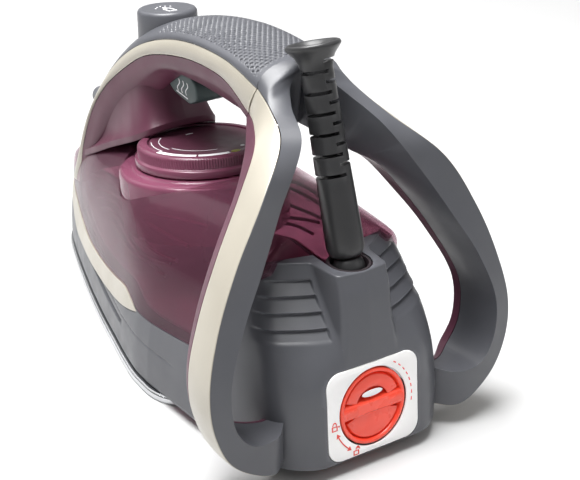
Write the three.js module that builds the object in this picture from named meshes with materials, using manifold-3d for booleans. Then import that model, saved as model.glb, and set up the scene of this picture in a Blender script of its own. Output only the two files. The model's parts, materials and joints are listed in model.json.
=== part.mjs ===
// Steam iron with its own water tank, a wishbone handle whose two rear legs reach down to the heel,
// a pull-out scale collector in the heel and a swivelling cord guard.
// Millimetres, +Z up, +Y towards the nose, origin on the soleplate's underside in the middle plane.
import * as THREE from 'three';
import { mergeVertices } from 'three/addons/utils/BufferGeometryUtils.js';
import Module from 'manifold-3d';

const wasm = await Module();
wasm.setup();

// ---------------------------------------------------------------- driving dimensions
const GAP = 0.4;                 // clearance between neighbouring pieces
const WALL = 2.4;                // moulded wall thickness
const TRIM = 1.6;                // thickness of the champagne trim strips
const WIDE = 200;                // wider than the iron, for cutting shapes
const DEG = Math.PI / 180;

const SOLE = { noseY: 152, waistY: -18, heelY: -49, thick: 4, holeR: 1.5 };
const CASTING = { inset: 6, bottom: 4.4, top: 15, elementR: 3 };
const CHAMBER = { inset: 21, bottom: 7.4, portR: 2, lidInset: 19.6, lidThick: 1.2 };
const SHIELD = { inset: 9, bottom: 22, top: 23.4 };
const SKIRT = { bottom: 4.5, heelY: -56, setBack: 1.2, taper: 2 };
const TANK = { heelY: -80, wellR: 8.5, wellWall: 2, backFoot: [-54, 40.5], backTop: [-79.4, 87] };
const VALVE = { y: 62, bodyR: 5, boreR: 2.3, needleR: 1.7 };
const FILLER = { y: 91, outer: 8, inner: 6.4, bottom: 76, top: 108 };
const DIAL = { centre: [0, 23.8, 98.7], lean: 7.4, r: 31.3, discR: 25.5, height: 9, shaftR: 3.2, seatR: 40.8 };
const BUTTON = { centre: [0, 56.6, 156], lean: 6.7, r: 13.8 };
const PUMP = { bore: 2.9, pistonR: 2.4, steamY: 20 };
const NOZZLE = { from: [0, 122, 90], to: [0, 134, 85], r: 5 };
const TRIGGER_PIVOT = [0, 42, 130.6];
const KNOB = { centre: [0, -114.7, 27.5], lean: 7.9, r: 17.4, hole: 18.1, depth: 8 };
const LABEL = { half: 24.2, tall: 41, corner: 7, thick: 0.8 };
const BALL = { centre: [0, -92, 84], r: 7.6 };
const GUARD = { bore: 3.4, foot: 5.6, tip: 95, slots: 10, firstSlot: 33, pitch: 5, slotWide: 1.8 };
const GUARD_AXIS = [-3, 29, 92];

// Half-width of the soleplate along the iron, as [y, half-width].
const SOLE_HALF = [[152, 0], [149.5, 4.5], [141, 12.3], [120, 21], [97, 28.7], [73, 36.2], [50, 42.6],
  [30, 47.6], [10, 52.4], [-5, 55.3], [-18, 56]];
// Height of the joint between skirt and tank, as [y, z].
const SKIRT_TOP = [[152, 42], [140, 38], [126, 34.5], [98, 29], [78, 29.3], [50, 33], [30, 36.6],
  [14, 40], [5, 38.2], [-4, 36], [-24, 37], [-56, 40.5]];
// Lower edge of the champagne strip on the skirt, as [y, z].
const TRIM_LOW = [[152, 32], [138, 29], [116, 20], [91, 19], [61, 21.8], [38.8, 24.5], [24, 27],
  [8.6, 31], [-5, 35.5]];
// Crown of the tank along the iron, as [y, z], and how square its shoulders are, as [y, exponent].
const TANK_TOP = [[150, 44], [146, 50], [136, 58], [122, 66], [108, 71], [89, 79], [60, 87], [40, 90],
  [20, 92], [0, 95], [-20, 98], [-50, 101], [-80, 95]];
const TANK_SQUARE = [[150, 4.4], [110, 4.2], [70, 3], [20, 2.5], [-50, 2.3], [-80, 2.8]];

// The handle's long edges from the seam over the grip and down to the nose, as [x, y, z].
const HANDLE = {
  top: [[0, -50, 164], [0, -28, 165], [0, 0, 164.4], [0, 30, 158.6], [0, 58, 146], [0, 80, 131],
    [0, 99, 113], [0, 116, 93], [0, 129, 73], [0, 140, 58], [0, 149.5, 45]],
  shoulder: [[14.5, -50.5, 161], [15, -28, 162.8], [15, 0, 162], [15, 28, 156.4], [15, 54, 143.8],
    [14.5, 76, 128.4], [12.5, 94, 110], [10.5, 109, 90.5], [9.5, 121, 71], [8, 132, 56.5], [6, 143, 44.4]],
  trimTop: [[21, -51, 154], [20.5, -28, 158.6], [20.5, 0, 158], [20.5, 25, 152.6], [20.5, 50, 141.6],
    [20.5, 72, 125.6], [20.5, 89, 107], [20, 103, 86], [19, 113.5, 66], [17, 123, 52], [13.2, 133.5, 43]],
  trimLow: [[21.5, -46, 141.5], [21, -27, 149.6], [21, -4, 150.6], [21, 20, 146.6], [21, 42, 139.4],
    [21, 62, 126.8], [21, 80, 112.5], [20.8, 95, 95], [20.2, 106, 74], [19, 112.5, 58], [16.4, 120.5, 44.5]],
};
// The mauve lower shell hangs under the trim: its rim and the two edges of its underside.
const UNDERSIDE = {
  rim: [[20, -45, 137.5], [20, -27, 143.5], [20, -4, 144.6], [20, 16, 141.6], [20, 36, 135],
    [20, 55, 122.5], [20, 73, 107.5], [20, 87, 91], [19.2, 98, 72], [18, 106, 57], [15.4, 115, 45.5]],
  edge: [[11, -48, 134.6], [14, -28, 135], [14, -8, 135.6], [14, 8, 136], [13, 24, 134.6],
    [10, 42, 118], [10, 57, 103], [10, 70, 90], [10, 84, 77], [9.5, 94, 63], [8, 108, 50]],
};
// Side outline of the thin web between the hand opening and the nose, as [y, z].
const WEB = [[46, 136], [45, 127], [40, 116], [33, 108.5], [31, 103], [60, 99.5], [78, 91], [96, 78],
  [88, 90], [70, 110], [54, 128]];

// One rear leg, right-hand side, from the seam down to the inner corner of the foot, as [x, y, z].
const LEG = {
  rearOuter: [[21, -51.5, 154], [23, -64, 149.5], [28, -79, 142.5], [46, -94, 126.5], [62, -100, 102],
    [73, -104.5, 78], [79, -109, 55], [77.5, -111.5, 37], [69, -113, 20.5], [47, -114, 10]],
  rearInner: [[0, -54, 160], [13.5, -65, 151], [20.5, -83, 141.5], [37, -93, 118.5], [50, -100.5, 98],
    [61.5, -106, 79], [70, -111, 56], [68, -113, 37], [60, -114, 28.4], [47, -113, 28]],
  inner: [[0, -52, 135], [9, -61, 129.5], [16, -68, 125], [27, -72, 118.5], [40, -73, 105],
    [56, -79.5, 82.5], [68.5, -87, 57], [67.5, -90, 38], [60, -92, 28.4], [47, -99, 27.5]],
  frontInner: [[9, -49.5, 134.2], [15, -52, 127.5], [21, -58, 122], [29, -61, 116], [41, -66.5, 101.5],
    [55, -74, 82], [67.5, -82, 57], [67, -85, 38], [60.5, -86, 27], [47, -95, 26]],
  frontOuter: [[20, -46, 137.5], [26, -54, 138], [34, -65, 134.5], [44.5, -74, 122], [58.5, -80.5, 100],
    [69, -84.5, 78], [75, -86.8, 56], [73.8, -88, 38], [66, -91, 20.5], [47, -97, 11.5]],
  trimFront: [[21.5, -46.5, 141.5], [27, -58, 141], [35.5, -71, 137], [46.5, -78.5, 124],
    [61, -84.3, 101], [71.3, -87.5, 78], [77, -89.5, 56], [76, -91, 38], [68, -95, 19.5], [47, -100, 10]],
};

// ---------------------------------------------------------------- materials
const finish = (color, roughness, metalness = 0, more = {}) =>
  new THREE.MeshStandardMaterial({ color, roughness, metalness, ...more });
const MATERIAL = {
  greyPlastic: finish(0x63666c, 0.45),
  champagne: finish(0xd9d2bf, 0.35, 0.3),
  plum: finish(0x63404d, 0.35),
  clearPlum: finish(0x8c6070, 0.1, 0, { transparent: true, opacity: 0.55 }),
  darkPlastic: finish(0x2a2226, 0.5),
  triggerPlastic: finish(0x3f4f50, 0.45),
  blackRubber: finish(0x1b1b1c, 0.6),
  redPlastic: finish(0xf0492f, 0.35),
  whiteLabel: finish(0xf2f0ee, 0.5),
  chrome: finish(0xd8dadd, 0.12, 1),
  castAluminium: finish(0xa5a8aa, 0.5, 0.9),
  steel: finish(0xb5b8ba, 0.3, 1),
  brass: finish(0xc0a060, 0.35, 1),
  rubber: finish(0x553c38, 0.8),
  hose: finish(0xd8d4cc, 0.4),
};

// ---------------------------------------------------------------- curves and solids
const vec = ([x, y, z]) => new THREE.Vector3(x, y, z);

/** Smooth value through [key, value] pairs, held flat beyond both ends. */
function through(pairs) {
  const sorted = [...pairs].sort((a, b) => a[0] - b[0]);
  const slope = (i) => {
    const a = sorted[Math.max(i - 1, 0)];
    const b = sorted[Math.min(i + 1, sorted.length - 1)];
    return (b[1] - a[1]) / (b[0] - a[0]);
  };
  return (key) => {
    if (key <= sorted[0][0]) return sorted[0][1];
    if (key >= sorted.at(-1)[0]) return sorted.at(-1)[1];
    const i = sorted.findIndex((pair) => pair[0] > key) - 1;
    const span = sorted[i + 1][0] - sorted[i][0];
    const t = (key - sorted[i][0]) / span;
    const [p, q] = [sorted[i][1], sorted[i + 1][1]];
    const [m, n] = [slope(i) * span, slope(i + 1) * span];
    return (2 * t ** 3 - 3 * t ** 2 + 1) * p + (t ** 3 - 2 * t ** 2 + t) * m
      + (3 * t ** 2 - 2 * t ** 3) * q + (t ** 3 - t ** 2) * n;
  };
}

const soleHalf = through(SOLE_HALF);
const skirtTop = through(SKIRT_TOP);
const trimLow = through(TRIM_LOW);
const tankTop = through(TANK_TOP);
const tankSquare = through(TANK_SQUARE);

const flip = (p) => new THREE.Vector3(-p.x, p.y, p.z);

/** Smooth space curve through points, sampled so that equal t means the same station. */
function edge(points) {
  const curve = new THREE.CatmullRomCurve3(points.map(vec), false, 'centripetal');
  return (t) => curve.getPoint(t);
}

/** Evenly spaced numbers from one end to the other, both included. */
const range = (from, to, steps) => Array.from(
  { length: steps + 1 }, (_, i) => from + ((to - from) * i) / steps);

function solid(geometry) {
  const bare = geometry.clone();
  bare.deleteAttribute('normal');
  bare.deleteAttribute('uv');
  const merged = mergeVertices(bare, 1e-4);
  return new wasm.Manifold(new wasm.Mesh({
    numProp: 3,
    vertProperties: Float32Array.from(merged.attributes.position.array),
    triVerts: Uint32Array.from(merged.index.array),
  }));
}

function geometryOf(manifold) {
  const mesh = manifold.getMesh();
  const geometry = new THREE.BufferGeometry();
  geometry.setAttribute('position', new THREE.BufferAttribute(Float32Array.from(mesh.vertProperties), 3));
  geometry.setIndex(new THREE.BufferAttribute(Uint32Array.from(mesh.triVerts), 1));
  geometry.computeVertexNormals();
  return geometry;
}

/** Geometry from points and triangles, turned inside out if its faces point inwards. */
function oriented(points, index) {
  let volume = 0;
  for (let i = 0; i < index.length; i += 3) {
    const [a, b, c] = [points[index[i]], points[index[i + 1]], points[index[i + 2]]];
    volume += a.dot(new THREE.Vector3().crossVectors(b, c));
  }
  if (volume < 0) index.reverse();
  const geometry = new THREE.BufferGeometry();
  geometry.setAttribute('position', new THREE.Float32BufferAttribute(points.flatMap((p) => p.toArray()), 3));
  geometry.setIndex(index);
  return geometry;
}

/** Closed skin over rings of equal length, with a fan cap on each end. */
function loft(rings) {
  const count = rings[0].length;
  const middle = (ring) => ring.reduce((sum, p) => sum.add(p), new THREE.Vector3()).divideScalar(count);
  const points = [...rings.flat(), middle(rings[0]), middle(rings.at(-1))];
  const last = (rings.length - 1) * count;
  const index = [];
  for (let i = 0; i < rings.length - 1; i += 1) {
    for (let j = 0; j < count; j += 1) {
      const [a, b] = [i * count + j, i * count + ((j + 1) % count)];
      index.push(a, b, b + count, a, b + count, a + count);
    }
  }
  for (let j = 0; j < count; j += 1) {
    const k = (j + 1) % count;
    index.push(k, j, points.length - 2, last + j, last + k, points.length - 1);
  }
  return oriented(points, index);
}

/** Plate cut to an outline of [y, z] points, standing between two x values. */
function sidePlate(outline, x0, x1) {
  const shape = new THREE.Shape(outline.map(([y, z]) => new THREE.Vector2(y, z)));
  const geometry = new THREE.ExtrudeGeometry(shape, { depth: x1 - x0, bevelEnabled: false, curveSegments: 4 });
  const turn = new THREE.Matrix4().set(0, 0, 1, x0, 1, 0, 0, 0, 0, 1, 0, 0, 0, 0, 0, 1);
  return geometry.applyMatrix4(turn);
}

/** Plate cut to an outline of [x, y] points, lying between two heights. */
function planPlate(outline, z0, z1, holes = []) {
  const shape = new THREE.Shape(outline.map(([x, y]) => new THREE.Vector2(x, y)));
  shape.holes = holes.map((hole) => new THREE.Path(hole.map(([x, y]) => new THREE.Vector2(x, y))));
  const geometry = new THREE.ExtrudeGeometry(shape, { depth: z1 - z0, bevelEnabled: false });
  return geometry.translate(0, 0, z0);
}

const circle = (cx, cy, r, count = 12) => range(0, 2 * Math.PI, count).slice(0, count)
  .map((a) => [cx + r * Math.cos(a), cy + r * Math.sin(a)]);

const box = (x0, x1, y0, y1, z0, z1) => new THREE.BoxGeometry(x1 - x0, y1 - y0, z1 - z0)
  .translate((x0 + x1) / 2, (y0 + y1) / 2, (z0 + z1) / 2);

/** Turned solid from [radius, height] points along +Z, in either direction round the profile. */
function turned(profile, segments = 20) {
  const lathe = new THREE.LatheGeometry(profile.map(([r, h]) => new THREE.Vector2(r, h)), segments);
  lathe.deleteAttribute('normal');
  lathe.deleteAttribute('uv');
  const merged = mergeVertices(lathe.rotateX(Math.PI / 2), 1e-4);
  const corners = merged.attributes.position;
  const points = Array.from(
    { length: corners.count }, (_, i) => new THREE.Vector3().fromBufferAttribute(corners, i));
  return oriented(points, dropSlivers(Array.from(merged.index.array)));
}

/** Leaves out the triangles that shrink to a line where a turned profile meets the axis. */
function dropSlivers(index) {
  const triangles = Array.from({ length: index.length / 3 }, (_, i) => index.slice(3 * i, 3 * i + 3));
  return triangles.filter(([a, b, c]) => a !== b && b !== c && c !== a).flat();
}

const tube = (outer, inner, z0, z1, segments = 20) =>
  turned([[inner, z0], [outer, z0], [outer, z1], [inner, z1], [inner, z0]], segments);
const rod = (r, z0, z1, segments = 16) => turned([[0, z0], [r, z0], [r, z1], [0, z1]], segments);

/** Round bar following points. */
function bar(points, r, sides = 8, steps = 16) {
  const shape = new THREE.Shape(circle(0, 0, r, sides).map(([x, y]) => new THREE.Vector2(x, y)));
  const path = new THREE.CatmullRomCurve3(points.map(vec), false, 'centripetal');
  return new THREE.ExtrudeGeometry(shape, { steps, bevelEnabled: false, extrudePath: path });
}

/** Coil spring along +Z, closed at both ends. */
function coil(r, wire, height, turns) {
  class Helix extends THREE.Curve {
    getPoint(t) {
      const a = 2 * Math.PI * turns * t;
      return new THREE.Vector3(r * Math.cos(a), r * Math.sin(a), height * t);
    }
  }
  const shape = new THREE.Shape(circle(0, 0, wire, 5).map(([x, y]) => new THREE.Vector2(x, y)));
  return new THREE.ExtrudeGeometry(shape, { steps: turns * 7, bevelEnabled: false, extrudePath: new Helix() });
}

/** Places a part built around +Z so that its axis leans from vertical about X. */
const seat = (geometry, centre, leanDeg) => geometry.rotateX(-leanDeg * DEG).translate(...centre);
/** Places a part built around +Z so that it points out of the heel. */
const heelSeat = (geometry) => geometry.rotateX((90 - KNOB.lean) * DEG).translate(...KNOB.centre);
/** Puts a part built around +Z along the line between two points. */
function aim(geometry, from, to) {
  const direction = vec(to).sub(vec(from)).normalize();
  const turn = new THREE.Quaternion().setFromUnitVectors(new THREE.Vector3(0, 0, 1), direction);
  return geometry.applyQuaternion(turn).translate(...from);
}

function mirrored(geometry) {
  const copy = geometry.index ? geometry.clone() : mergeVertices(geometry);
  copy.scale(-1, 1, 1);
  copy.setIndex(Array.from(copy.index.array).reverse());
  return copy;
}

const iron = new THREE.Group();
iron.name = 'steam_iron';

function place(name, shape, material) {
  const geometry = shape.isBufferGeometry ? shape : geometryOf(shape);
  const mesh = new THREE.Mesh(geometry, material);
  mesh.name = name;
  iron.add(mesh);
}

function placePair(name, shape, material) {
  const right = shape.isBufferGeometry ? shape : geometryOf(shape);
  place(`${name}_right`, right, material);
  place(`${name}_left`, mirrored(right), material);
}

// ---------------------------------------------------------------- sole and steam chamber
const FLANK_STATIONS = [149, 143, 132, 118, 100, 80, 58, 34, 8, SOLE.waistY];

/** Soleplate outline pulled in by an inset, as [x, y], counter-clockwise. */
function soleOutline(inset = 0) {
  const least = inset + (inset > CASTING.inset ? 6 : 2);
  const flank = FLANK_STATIONS.filter((y) => soleHalf(y) > least)
    .map((y) => [soleHalf(y) - inset, y - inset * 0.2]);
  const width = soleHalf(SOLE.waistY) - inset;
  const depth = SOLE.waistY - SOLE.heelY - inset;
  const heel = range(0, Math.PI / 2, 5).slice(1, 5)
    .map((a) => [width * Math.cos(a) ** 0.8, SOLE.waistY - depth * Math.sin(a) ** 0.9]);
  const half = [...flank, ...heel];
  const nose = [0, flank[0][1] + flank[0][0] * 0.6];
  const tail = [0, SOLE.heelY + inset];
  return [nose, ...half.map(([x, y]) => [-x, y]), tail, ...half.reverse()];
}

// Steam outlets: rows along both flanks, one at the nose and two behind the waist, as [x, y].
const STEAM_HOLES = [126, 104, 80, 56, 30, 4].flatMap((y) => {
  const x = soleHalf(y) * 0.62;
  return [[x, y], [-x, y]];
}).concat([[0, 134], [22, -22], [-22, -22]]);

function soleplate() {
  const holes = STEAM_HOLES.map(([x, y]) => circle(x, y, SOLE.holeR, 6).reverse());
  return planPlate(soleOutline(), 0, SOLE.thick, holes);
}

/** Block under the tank with the steam chamber, its outlets, the thermostat's island and the rod's groove. */
function soleCasting() {
  const block = solid(planPlate(soleOutline(CASTING.inset), CASTING.bottom, CASTING.top));
  const chamber = solid(planPlate(soleOutline(CHAMBER.inset), CHAMBER.bottom, CASTING.top + 1));
  const island = solid(rod(9, CASTING.bottom, CASTING.top, 12).translate(0, DIAL.centre[1], 0));
  const groove = solid(elementBar(CASTING.elementR + 0.6, 0.3));
  const ports = STEAM_HOLES.filter(([x, y]) => Math.abs(x) < soleHalf(y) - CHAMBER.inset + 1)
    .map(([x, y]) => solid(rod(CHAMBER.portR, CASTING.bottom - 1, CASTING.top + 1, 6).translate(x, y, 0)));
  const open = block.subtract(chamber).add(island).subtract(groove);
  return ports.reduce((body, port) => body.subtract(port), open);
}

/** U-shaped heating rod that follows the edge of the casting, with both ends at the heel. */
function elementBar(r, raise = 0) {
  const half = [[9, -44], [36, -34], [43, -10], [38, 30], [28, 66], [16, 100], [0, 118]];
  const path = [...half, ...half.slice(0, -1).reverse().map(([x, y]) => [-x, y])];
  return bar(path.map(([x, y]) => [x, y, CASTING.top - 0.2 + raise]), r, 6, 22);
}

function chamberLid() {
  const inlet = circle(0, VALVE.y, 3.2, 8).reverse();
  const low = CASTING.top + GAP;
  return planPlate(soleOutline(CHAMBER.lidInset), low, low + CHAMBER.lidThick, [inlet]);
}

function heatShield() {
  const well = circle(0, DIAL.centre[1] - 9, 14, 12).reverse();
  const inlet = circle(0, VALVE.y, VALVE.bodyR + 1, 8).reverse();
  return planPlate(soleOutline(SHIELD.inset), SHIELD.bottom, SHIELD.top, [well, inlet]);
}

// ---------------------------------------------------------------- body envelope: skirt, tank, rear cover
/** Cross-section of the front body at y, grown or shrunk by an offset, as a ring of points. */
function bodyRing(y, offset) {
  const foot = Math.max(bodyHalf(y) + offset, 0.6);
  const waist = Math.max(bodyHalf(y) - SKIRT.taper + offset, 0.5);
  const low = SKIRT.bottom - offset;
  const mid = skirtTop(y);
  const crown = Math.max(tankTop(y) + offset, mid + 1) - mid;
  const arch = range(0, Math.PI / 2, 5).map((a) => {
    const power = 2 / tankSquare(y);
    return [waist * Math.cos(a) ** power, mid + crown * Math.sin(a) ** power];
  });
  const half = [[foot, low], [(foot + waist) / 2, (low + mid) / 2], ...arch.slice(0, -1)];
  const outline = [...half, [0, mid + crown], ...[...half].reverse().map(([x, z]) => [-x, z])];
  return outline.map(([x, z]) => new THREE.Vector3(x, y, z));
}

/** Half-width of the skirt's foot, carried straight back behind the sole's waist. */
function bodyHalf(y) {
  const half = soleHalf(Math.max(y, SOLE.waistY)) - SKIRT.setBack;
  return half + Math.min(y - SOLE.waistY, 0) * 0.06;
}

function bodyEnvelope(offset, heelY) {
  const nose = [150.5 + offset, 147 + offset * 0.7];
  const stations = [...nose, 141, 132, 120, 106, 90, 72, 52, 30, 8, -14, -36, -58, heelY];
  return solid(loft(stations.filter((y) => y >= heelY).map((y) => bodyRing(y, offset))));
}

/** Everything above the joint between skirt and tank, ahead of the rear cover. */
function tankRegion(grow = 0) {
  const joint = range(154, TANK.backFoot[0] - grow, 14).map((y) => [y, skirtTop(y) + GAP / 2 - grow]);
  const back = [[TANK.backTop[0] - grow, TANK.backTop[1]], [-71 - grow, 106]];
  return solid(sidePlate([...joint, ...back, [154, 106]], -WIDE, WIDE));
}

/** Space taken at the nose by the front end of the handle, carried straight down past that end. */
function noseSpace(grow) {
  const sections = range(0.8, 1.12, 8).map((t) => {
    const moved = (name, dx, dy) => handleEdges[name](Math.min(t, 1))
      .add(new THREE.Vector3(dx, dy, -60 * Math.max(t - 1, 0)));
    const half = [moved('trimLow', grow, -grow), moved('trimTop', 4, 0), moved('shoulder', 4, 6),
      moved('top', 0, 9)];
    return [...half, ...half.slice(0, -1).reverse().map(flip)];
  });
  return solid(loft(sections));
}

const dialSeated = (geometry) => seat(geometry, DIAL.centre, DIAL.lean);
const dialSpace = (grow) => solid(dialSeated(rod(DIAL.seatR + 1.2 + grow, -20.5 - grow, 60, 28)));

function skirt() {
  const joint = range(154, SKIRT.heelY, 14).map((y) => [y, skirtTop(y) - GAP / 2]);
  const region = solid(sidePlate([...joint, [SKIRT.heelY, 0], [154, 0]], -WIDE, WIDE));
  const opening = solid(planPlate(soleOutline(SKIRT.setBack + WALL), 0, 12))
    .add(solid(box(-49, 49, -62, -12, 0, 12)));
  const sole = solid(planPlate(soleOutline(-0.5), -1, SOLE.thick + 0.3));
  const shell = bodyEnvelope(0, -60).subtract(bodyEnvelope(-WALL, -62).add(opening));
  return shell.intersect(region).subtract(trimBand(0.3)).subtract(sole);
}

/** Inlay band of the champagne strip on the right of the skirt; both sides when cut from the skirt. */
function trimBand(grow) {
  const low = range(150, -4, 12).map((y) => [y, trimLow(y) - grow]);
  const high = range(-4, 150, 12).map((y) => [y, skirtTop(y) + (grow ? 1 : -1.5 * GAP)]);
  const band = solid(sidePlate([...low, ...high], -WIDE, WIDE));
  const layer = bodyEnvelope(1, -60).subtract(bodyEnvelope(-TRIM + 0.4 - grow, -62));
  return band.intersect(layer);
}

function skirtTrim() {
  const side = solid(box(3, WIDE, -30, 149, 0, 60));
  return trimBand(0).intersect(bodyEnvelope(0.4, -60)).intersect(side);
}

/** Walled tank with the dial shaft's well through it and openings for the drip valve and the filler. */
function waterTank() {
  const well = solid(dialSeated(rod(TANK.wellR + TANK.wellWall, -75, 0, 16)));
  const bore = solid(dialSeated(rod(TANK.wellR, -80, 10, 16)));
  const outer = bodyEnvelope(0, TANK.heelY).intersect(tankRegion()).subtract(dialSpace(0))
    .subtract(noseSpace(GAP));
  const inner = bodyEnvelope(-WALL, TANK.heelY + WALL).intersect(tankRegion(-WALL)).subtract(dialSpace(WALL))
    .subtract(noseSpace(GAP + WALL));
  const valve = solid(rod(VALVE.bodyR + 0.5, 20, 40, 12).translate(0, VALVE.y, 0));
  const filler = solid(rod(FILLER.outer + 0.8, 60, 100, 14).translate(0, FILLER.y, 0));
  return outer.subtract(inner).add(well.intersect(outer)).subtract(bore).subtract(valve).subtract(filler);
}

const dialSeat = () => dialSeated(turned([[TANK.wellR + 3, -20], [DIAL.seatR - 2.3, -20], [DIAL.seatR, -18],
  [37.5, -10.6], [33, -9.6], [TANK.wellR + 3, -9.6], [TANK.wellR + 3, -20]], 36));

// Half outlines of the rear cover at rising heights: front, flank, crease, shoulder, ridge foot, ridge, heel.
const REAR_LEVELS = [
  [8, [[52, -56.6], [49, -84], [40.5, -111], [28, -118.4], [15, -119.4], [12, -119.4], [0, -119.4]]],
  [24, [[52.4, -56.6], [49.5, -83], [41.5, -108.5], [28, -116.2], [15, -117.2], [12, -117.2], [0, -117.2]]],
  [40, [[51.4, -56.6], [48.5, -82], [42, -104.5], [28, -113.6], [15, -114.8], [12, -114.8], [0, -114.8]]],
  [54, [[49, -62], [46.5, -79], [41.5, -98], [26, -106], [15, -109.4], [12.6, -112], [0, -112.4]]],
  [66, [[45.5, -68], [43.5, -78], [39, -89.5], [24, -97], [15, -100], [12.6, -106.5], [0, -107.5]]],
  [78, [[40.5, -72], [38, -77], [34, -82.5], [22, -88], [15, -90.5], [12.8, -103], [0, -104.4]]],
  [86.8, [[32, -74], [29, -76], [25, -78.5], [18.5, -82.5], [14.6, -85], [12.6, -100.5], [0, -102]]],
];

function rearEnvelope(inset) {
  const sections = REAR_LEVELS.map(([z, half], i) => {
    const lift = i === 0 ? inset : -inset * (i / (REAR_LEVELS.length - 1));
    const inwards = (y) => (y < -76 ? inset : inset * 4);
    const side = half.map(([x, y]) => new THREE.Vector3(Math.max(x - inset, 0), y + inwards(y), z + lift));
    return [...side, ...side.slice(0, -1).reverse().map(flip)];
  });
  return solid(loft(sections));
}

const heelFlat = () => solid(heelSeat(box(-WIDE, WIDE, -WIDE, WIDE, 0, 60)));

/** Plate round the knob: a rectangle with round corners and the knob's hole. */
function labelPlate() {
  const reach = { x: LABEL.half - LABEL.corner, y: LABEL.tall / 2 - LABEL.corner };
  const corners = [[1, 1], [-1, 1], [-1, -1], [1, -1]];
  const outline = corners.flatMap(([sx, sy], i) => range(i * 90, i * 90 + 90, 3).map((turn) => [
    sx * reach.x + LABEL.corner * Math.cos(turn * DEG), sy * reach.y + LABEL.corner * Math.sin(turn * DEG)]));
  const hole = circle(0, 0, KNOB.hole, 28).reverse();
  return heelSeat(planPlate(outline, -LABEL.thick, 0, [hole]));
}

function rearCover() {
  const shell = rearEnvelope(0).subtract(heelFlat()).subtract(rearEnvelope(WALL));
  const [footY, footZ] = TANK.backFoot;
  const front = [[0, 0], [0, 120], [-65.6, 120], [TANK.backTop[0] - GAP, TANK.backTop[1]], [footY - 0.6, footZ],
    [SKIRT.heelY - GAP, footZ - 2.5], [SKIRT.heelY - GAP, 0]];
  const tankSide = solid(sidePlate(front, -WIDE, WIDE));
  const knobWell = solid(heelSeat(rod(KNOB.hole + GAP, -KNOB.depth - 2, 5, 28)));
  const socket = solid(rod(BALL.r + 3.2, 70, 110, 18).translate(0, BALL.centre[1], 0));
  const [across, up] = [LABEL.half + GAP, LABEL.tall / 2 + GAP];
  const pocket = solid(heelSeat(box(-across, across, -up, up, -LABEL.thick - GAP, 5)));
  const floor = solid(box(-36, 36, -100, -50, 0, 12));
  return shell.subtract(tankSide).subtract(knobWell).subtract(pocket).subtract(socket).subtract(floor);
}

/** Plate that closes the body's underside behind the soleplate. */
function heelBase() {
  const half = [[48, -25], [47.5, -56], [46, -84], [37, -108]];
  const outline = [...half, ...half.map(([x, y]) => [-x, y]).reverse()].reverse();
  return solid(planPlate(outline, 4.6, 6.8)).subtract(solid(planPlate(soleOutline(-1.2), 0, 10)));
}

// ---------------------------------------------------------------- handle and legs
/** Ring of a bent strip of wall: the outer points, then the same points moved towards a centre. */
function wallRing(outer, centre, thickness) {
  const pulled = outer.map((p) => {
    const inward = centre.clone().sub(p);
    return p.clone().add(inward.setLength(Math.min(thickness, inward.length() * 0.6)));
  });
  return [...outer, ...pulled.reverse()];
}

/** Moves both ends of a row of points inwards along the row, to leave a joint line. */
function shortened(points, gap = GAP) {
  const ends = [points[0].clone(), points.at(-1).clone()];
  ends[0].add(points[1].clone().sub(points[0]).setLength(gap));
  ends[1].add(points.at(-2).clone().sub(points.at(-1)).setLength(gap));
  return [ends[0], ...points.slice(1, -1), ends[1]];
}

/** Skin of a strip of wall; its ends are closed across the wall, not across the hollow. */
function wallLoft(rings) {
  const count = rings[0].length;
  const points = rings.flat();
  const index = [];
  for (let i = 0; i < rings.length - 1; i += 1) {
    for (let j = 0; j < count; j += 1) {
      const [a, b] = [i * count + j, i * count + ((j + 1) % count)];
      index.push(a, b, b + count, a, b + count, a + count);
    }
  }
  const last = (rings.length - 1) * count;
  for (let j = 0; j < count / 2 - 1; j += 1) {
    const [a, b, c, d] = [j, j + 1, count - 2 - j, count - 1 - j];
    index.push(b, a, c, a, d, c, last + a, last + b, last + c, last + a, last + c, last + d);
  }
  return oriented(points, index);
}

const edges = (lines) => Object.fromEntries(Object.entries(lines).map(([key, points]) => [key, edge(points)]));
const handleEdges = edges({ ...HANDLE, ...UNDERSIDE });
const legEdges = edges(LEG);
const handleStations = range(0, 1, 18);
const legStations = range(0, 1, 20);

/** Centre of the handle's section at a station. */
const handleCentre = (t) => handleEdges.top(t).add(handleEdges.edge(t).setX(0)).multiplyScalar(0.5);
/** Centre of a leg's section at a station. */
const legCentre = (t) => Object.values(legEdges).reduce((sum, e) => sum.add(e(t)), new THREE.Vector3())
  .divideScalar(Object.keys(legEdges).length);
/** Half of a section, then its mirror image, as one row of points. */
const bothSides = (half) => [...half, ...half.map(flip).reverse()];

function gripShell() {
  return solid(wallLoft(handleStations.map((t) => {
    const half = [handleEdges.trimTop(t), handleEdges.shoulder(t)];
    const arc = [...half, handleEdges.top(t), ...half.reverse().map(flip)];
    return wallRing(shortened(arc), handleCentre(t), WALL);
  })));
}

/** Opening for the filling door, pulled in by a gap on every side. */
const doorSpace = (gap) => solid(sidePlate(
  [[90 + gap, 150], [90 + gap, 105], [108 - gap, 90], [130 - gap, 125]], -9 + gap, 9 - gap));

function gripCover() {
  const button = solid(seat(rod(BUTTON.r + 2, -30, 20, 24), BUTTON.centre, BUTTON.lean));
  const nozzle = solid(aim(rod(NOZZLE.r + 0.6, -8, 20, 14), NOZZLE.from, NOZZLE.to));
  return gripShell().subtract(button).subtract(nozzle).subtract(doorSpace(0));
}

const fillDoor = () => gripShell().intersect(doorSpace(GAP));

function handleTrim() {
  return wallLoft(handleStations.map((t) => {
    const strip = [handleEdges.trimTop(t), handleEdges.trimLow(t)];
    return wallRing(shortened(strip), handleCentre(t), TRIM);
  }));
}

/** Row of points across the plum underside of the handle at a station. */
const undersideRow = (t) => bothSides([handleEdges.trimLow(t), handleEdges.rim(t), handleEdges.edge(t)]);

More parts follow.
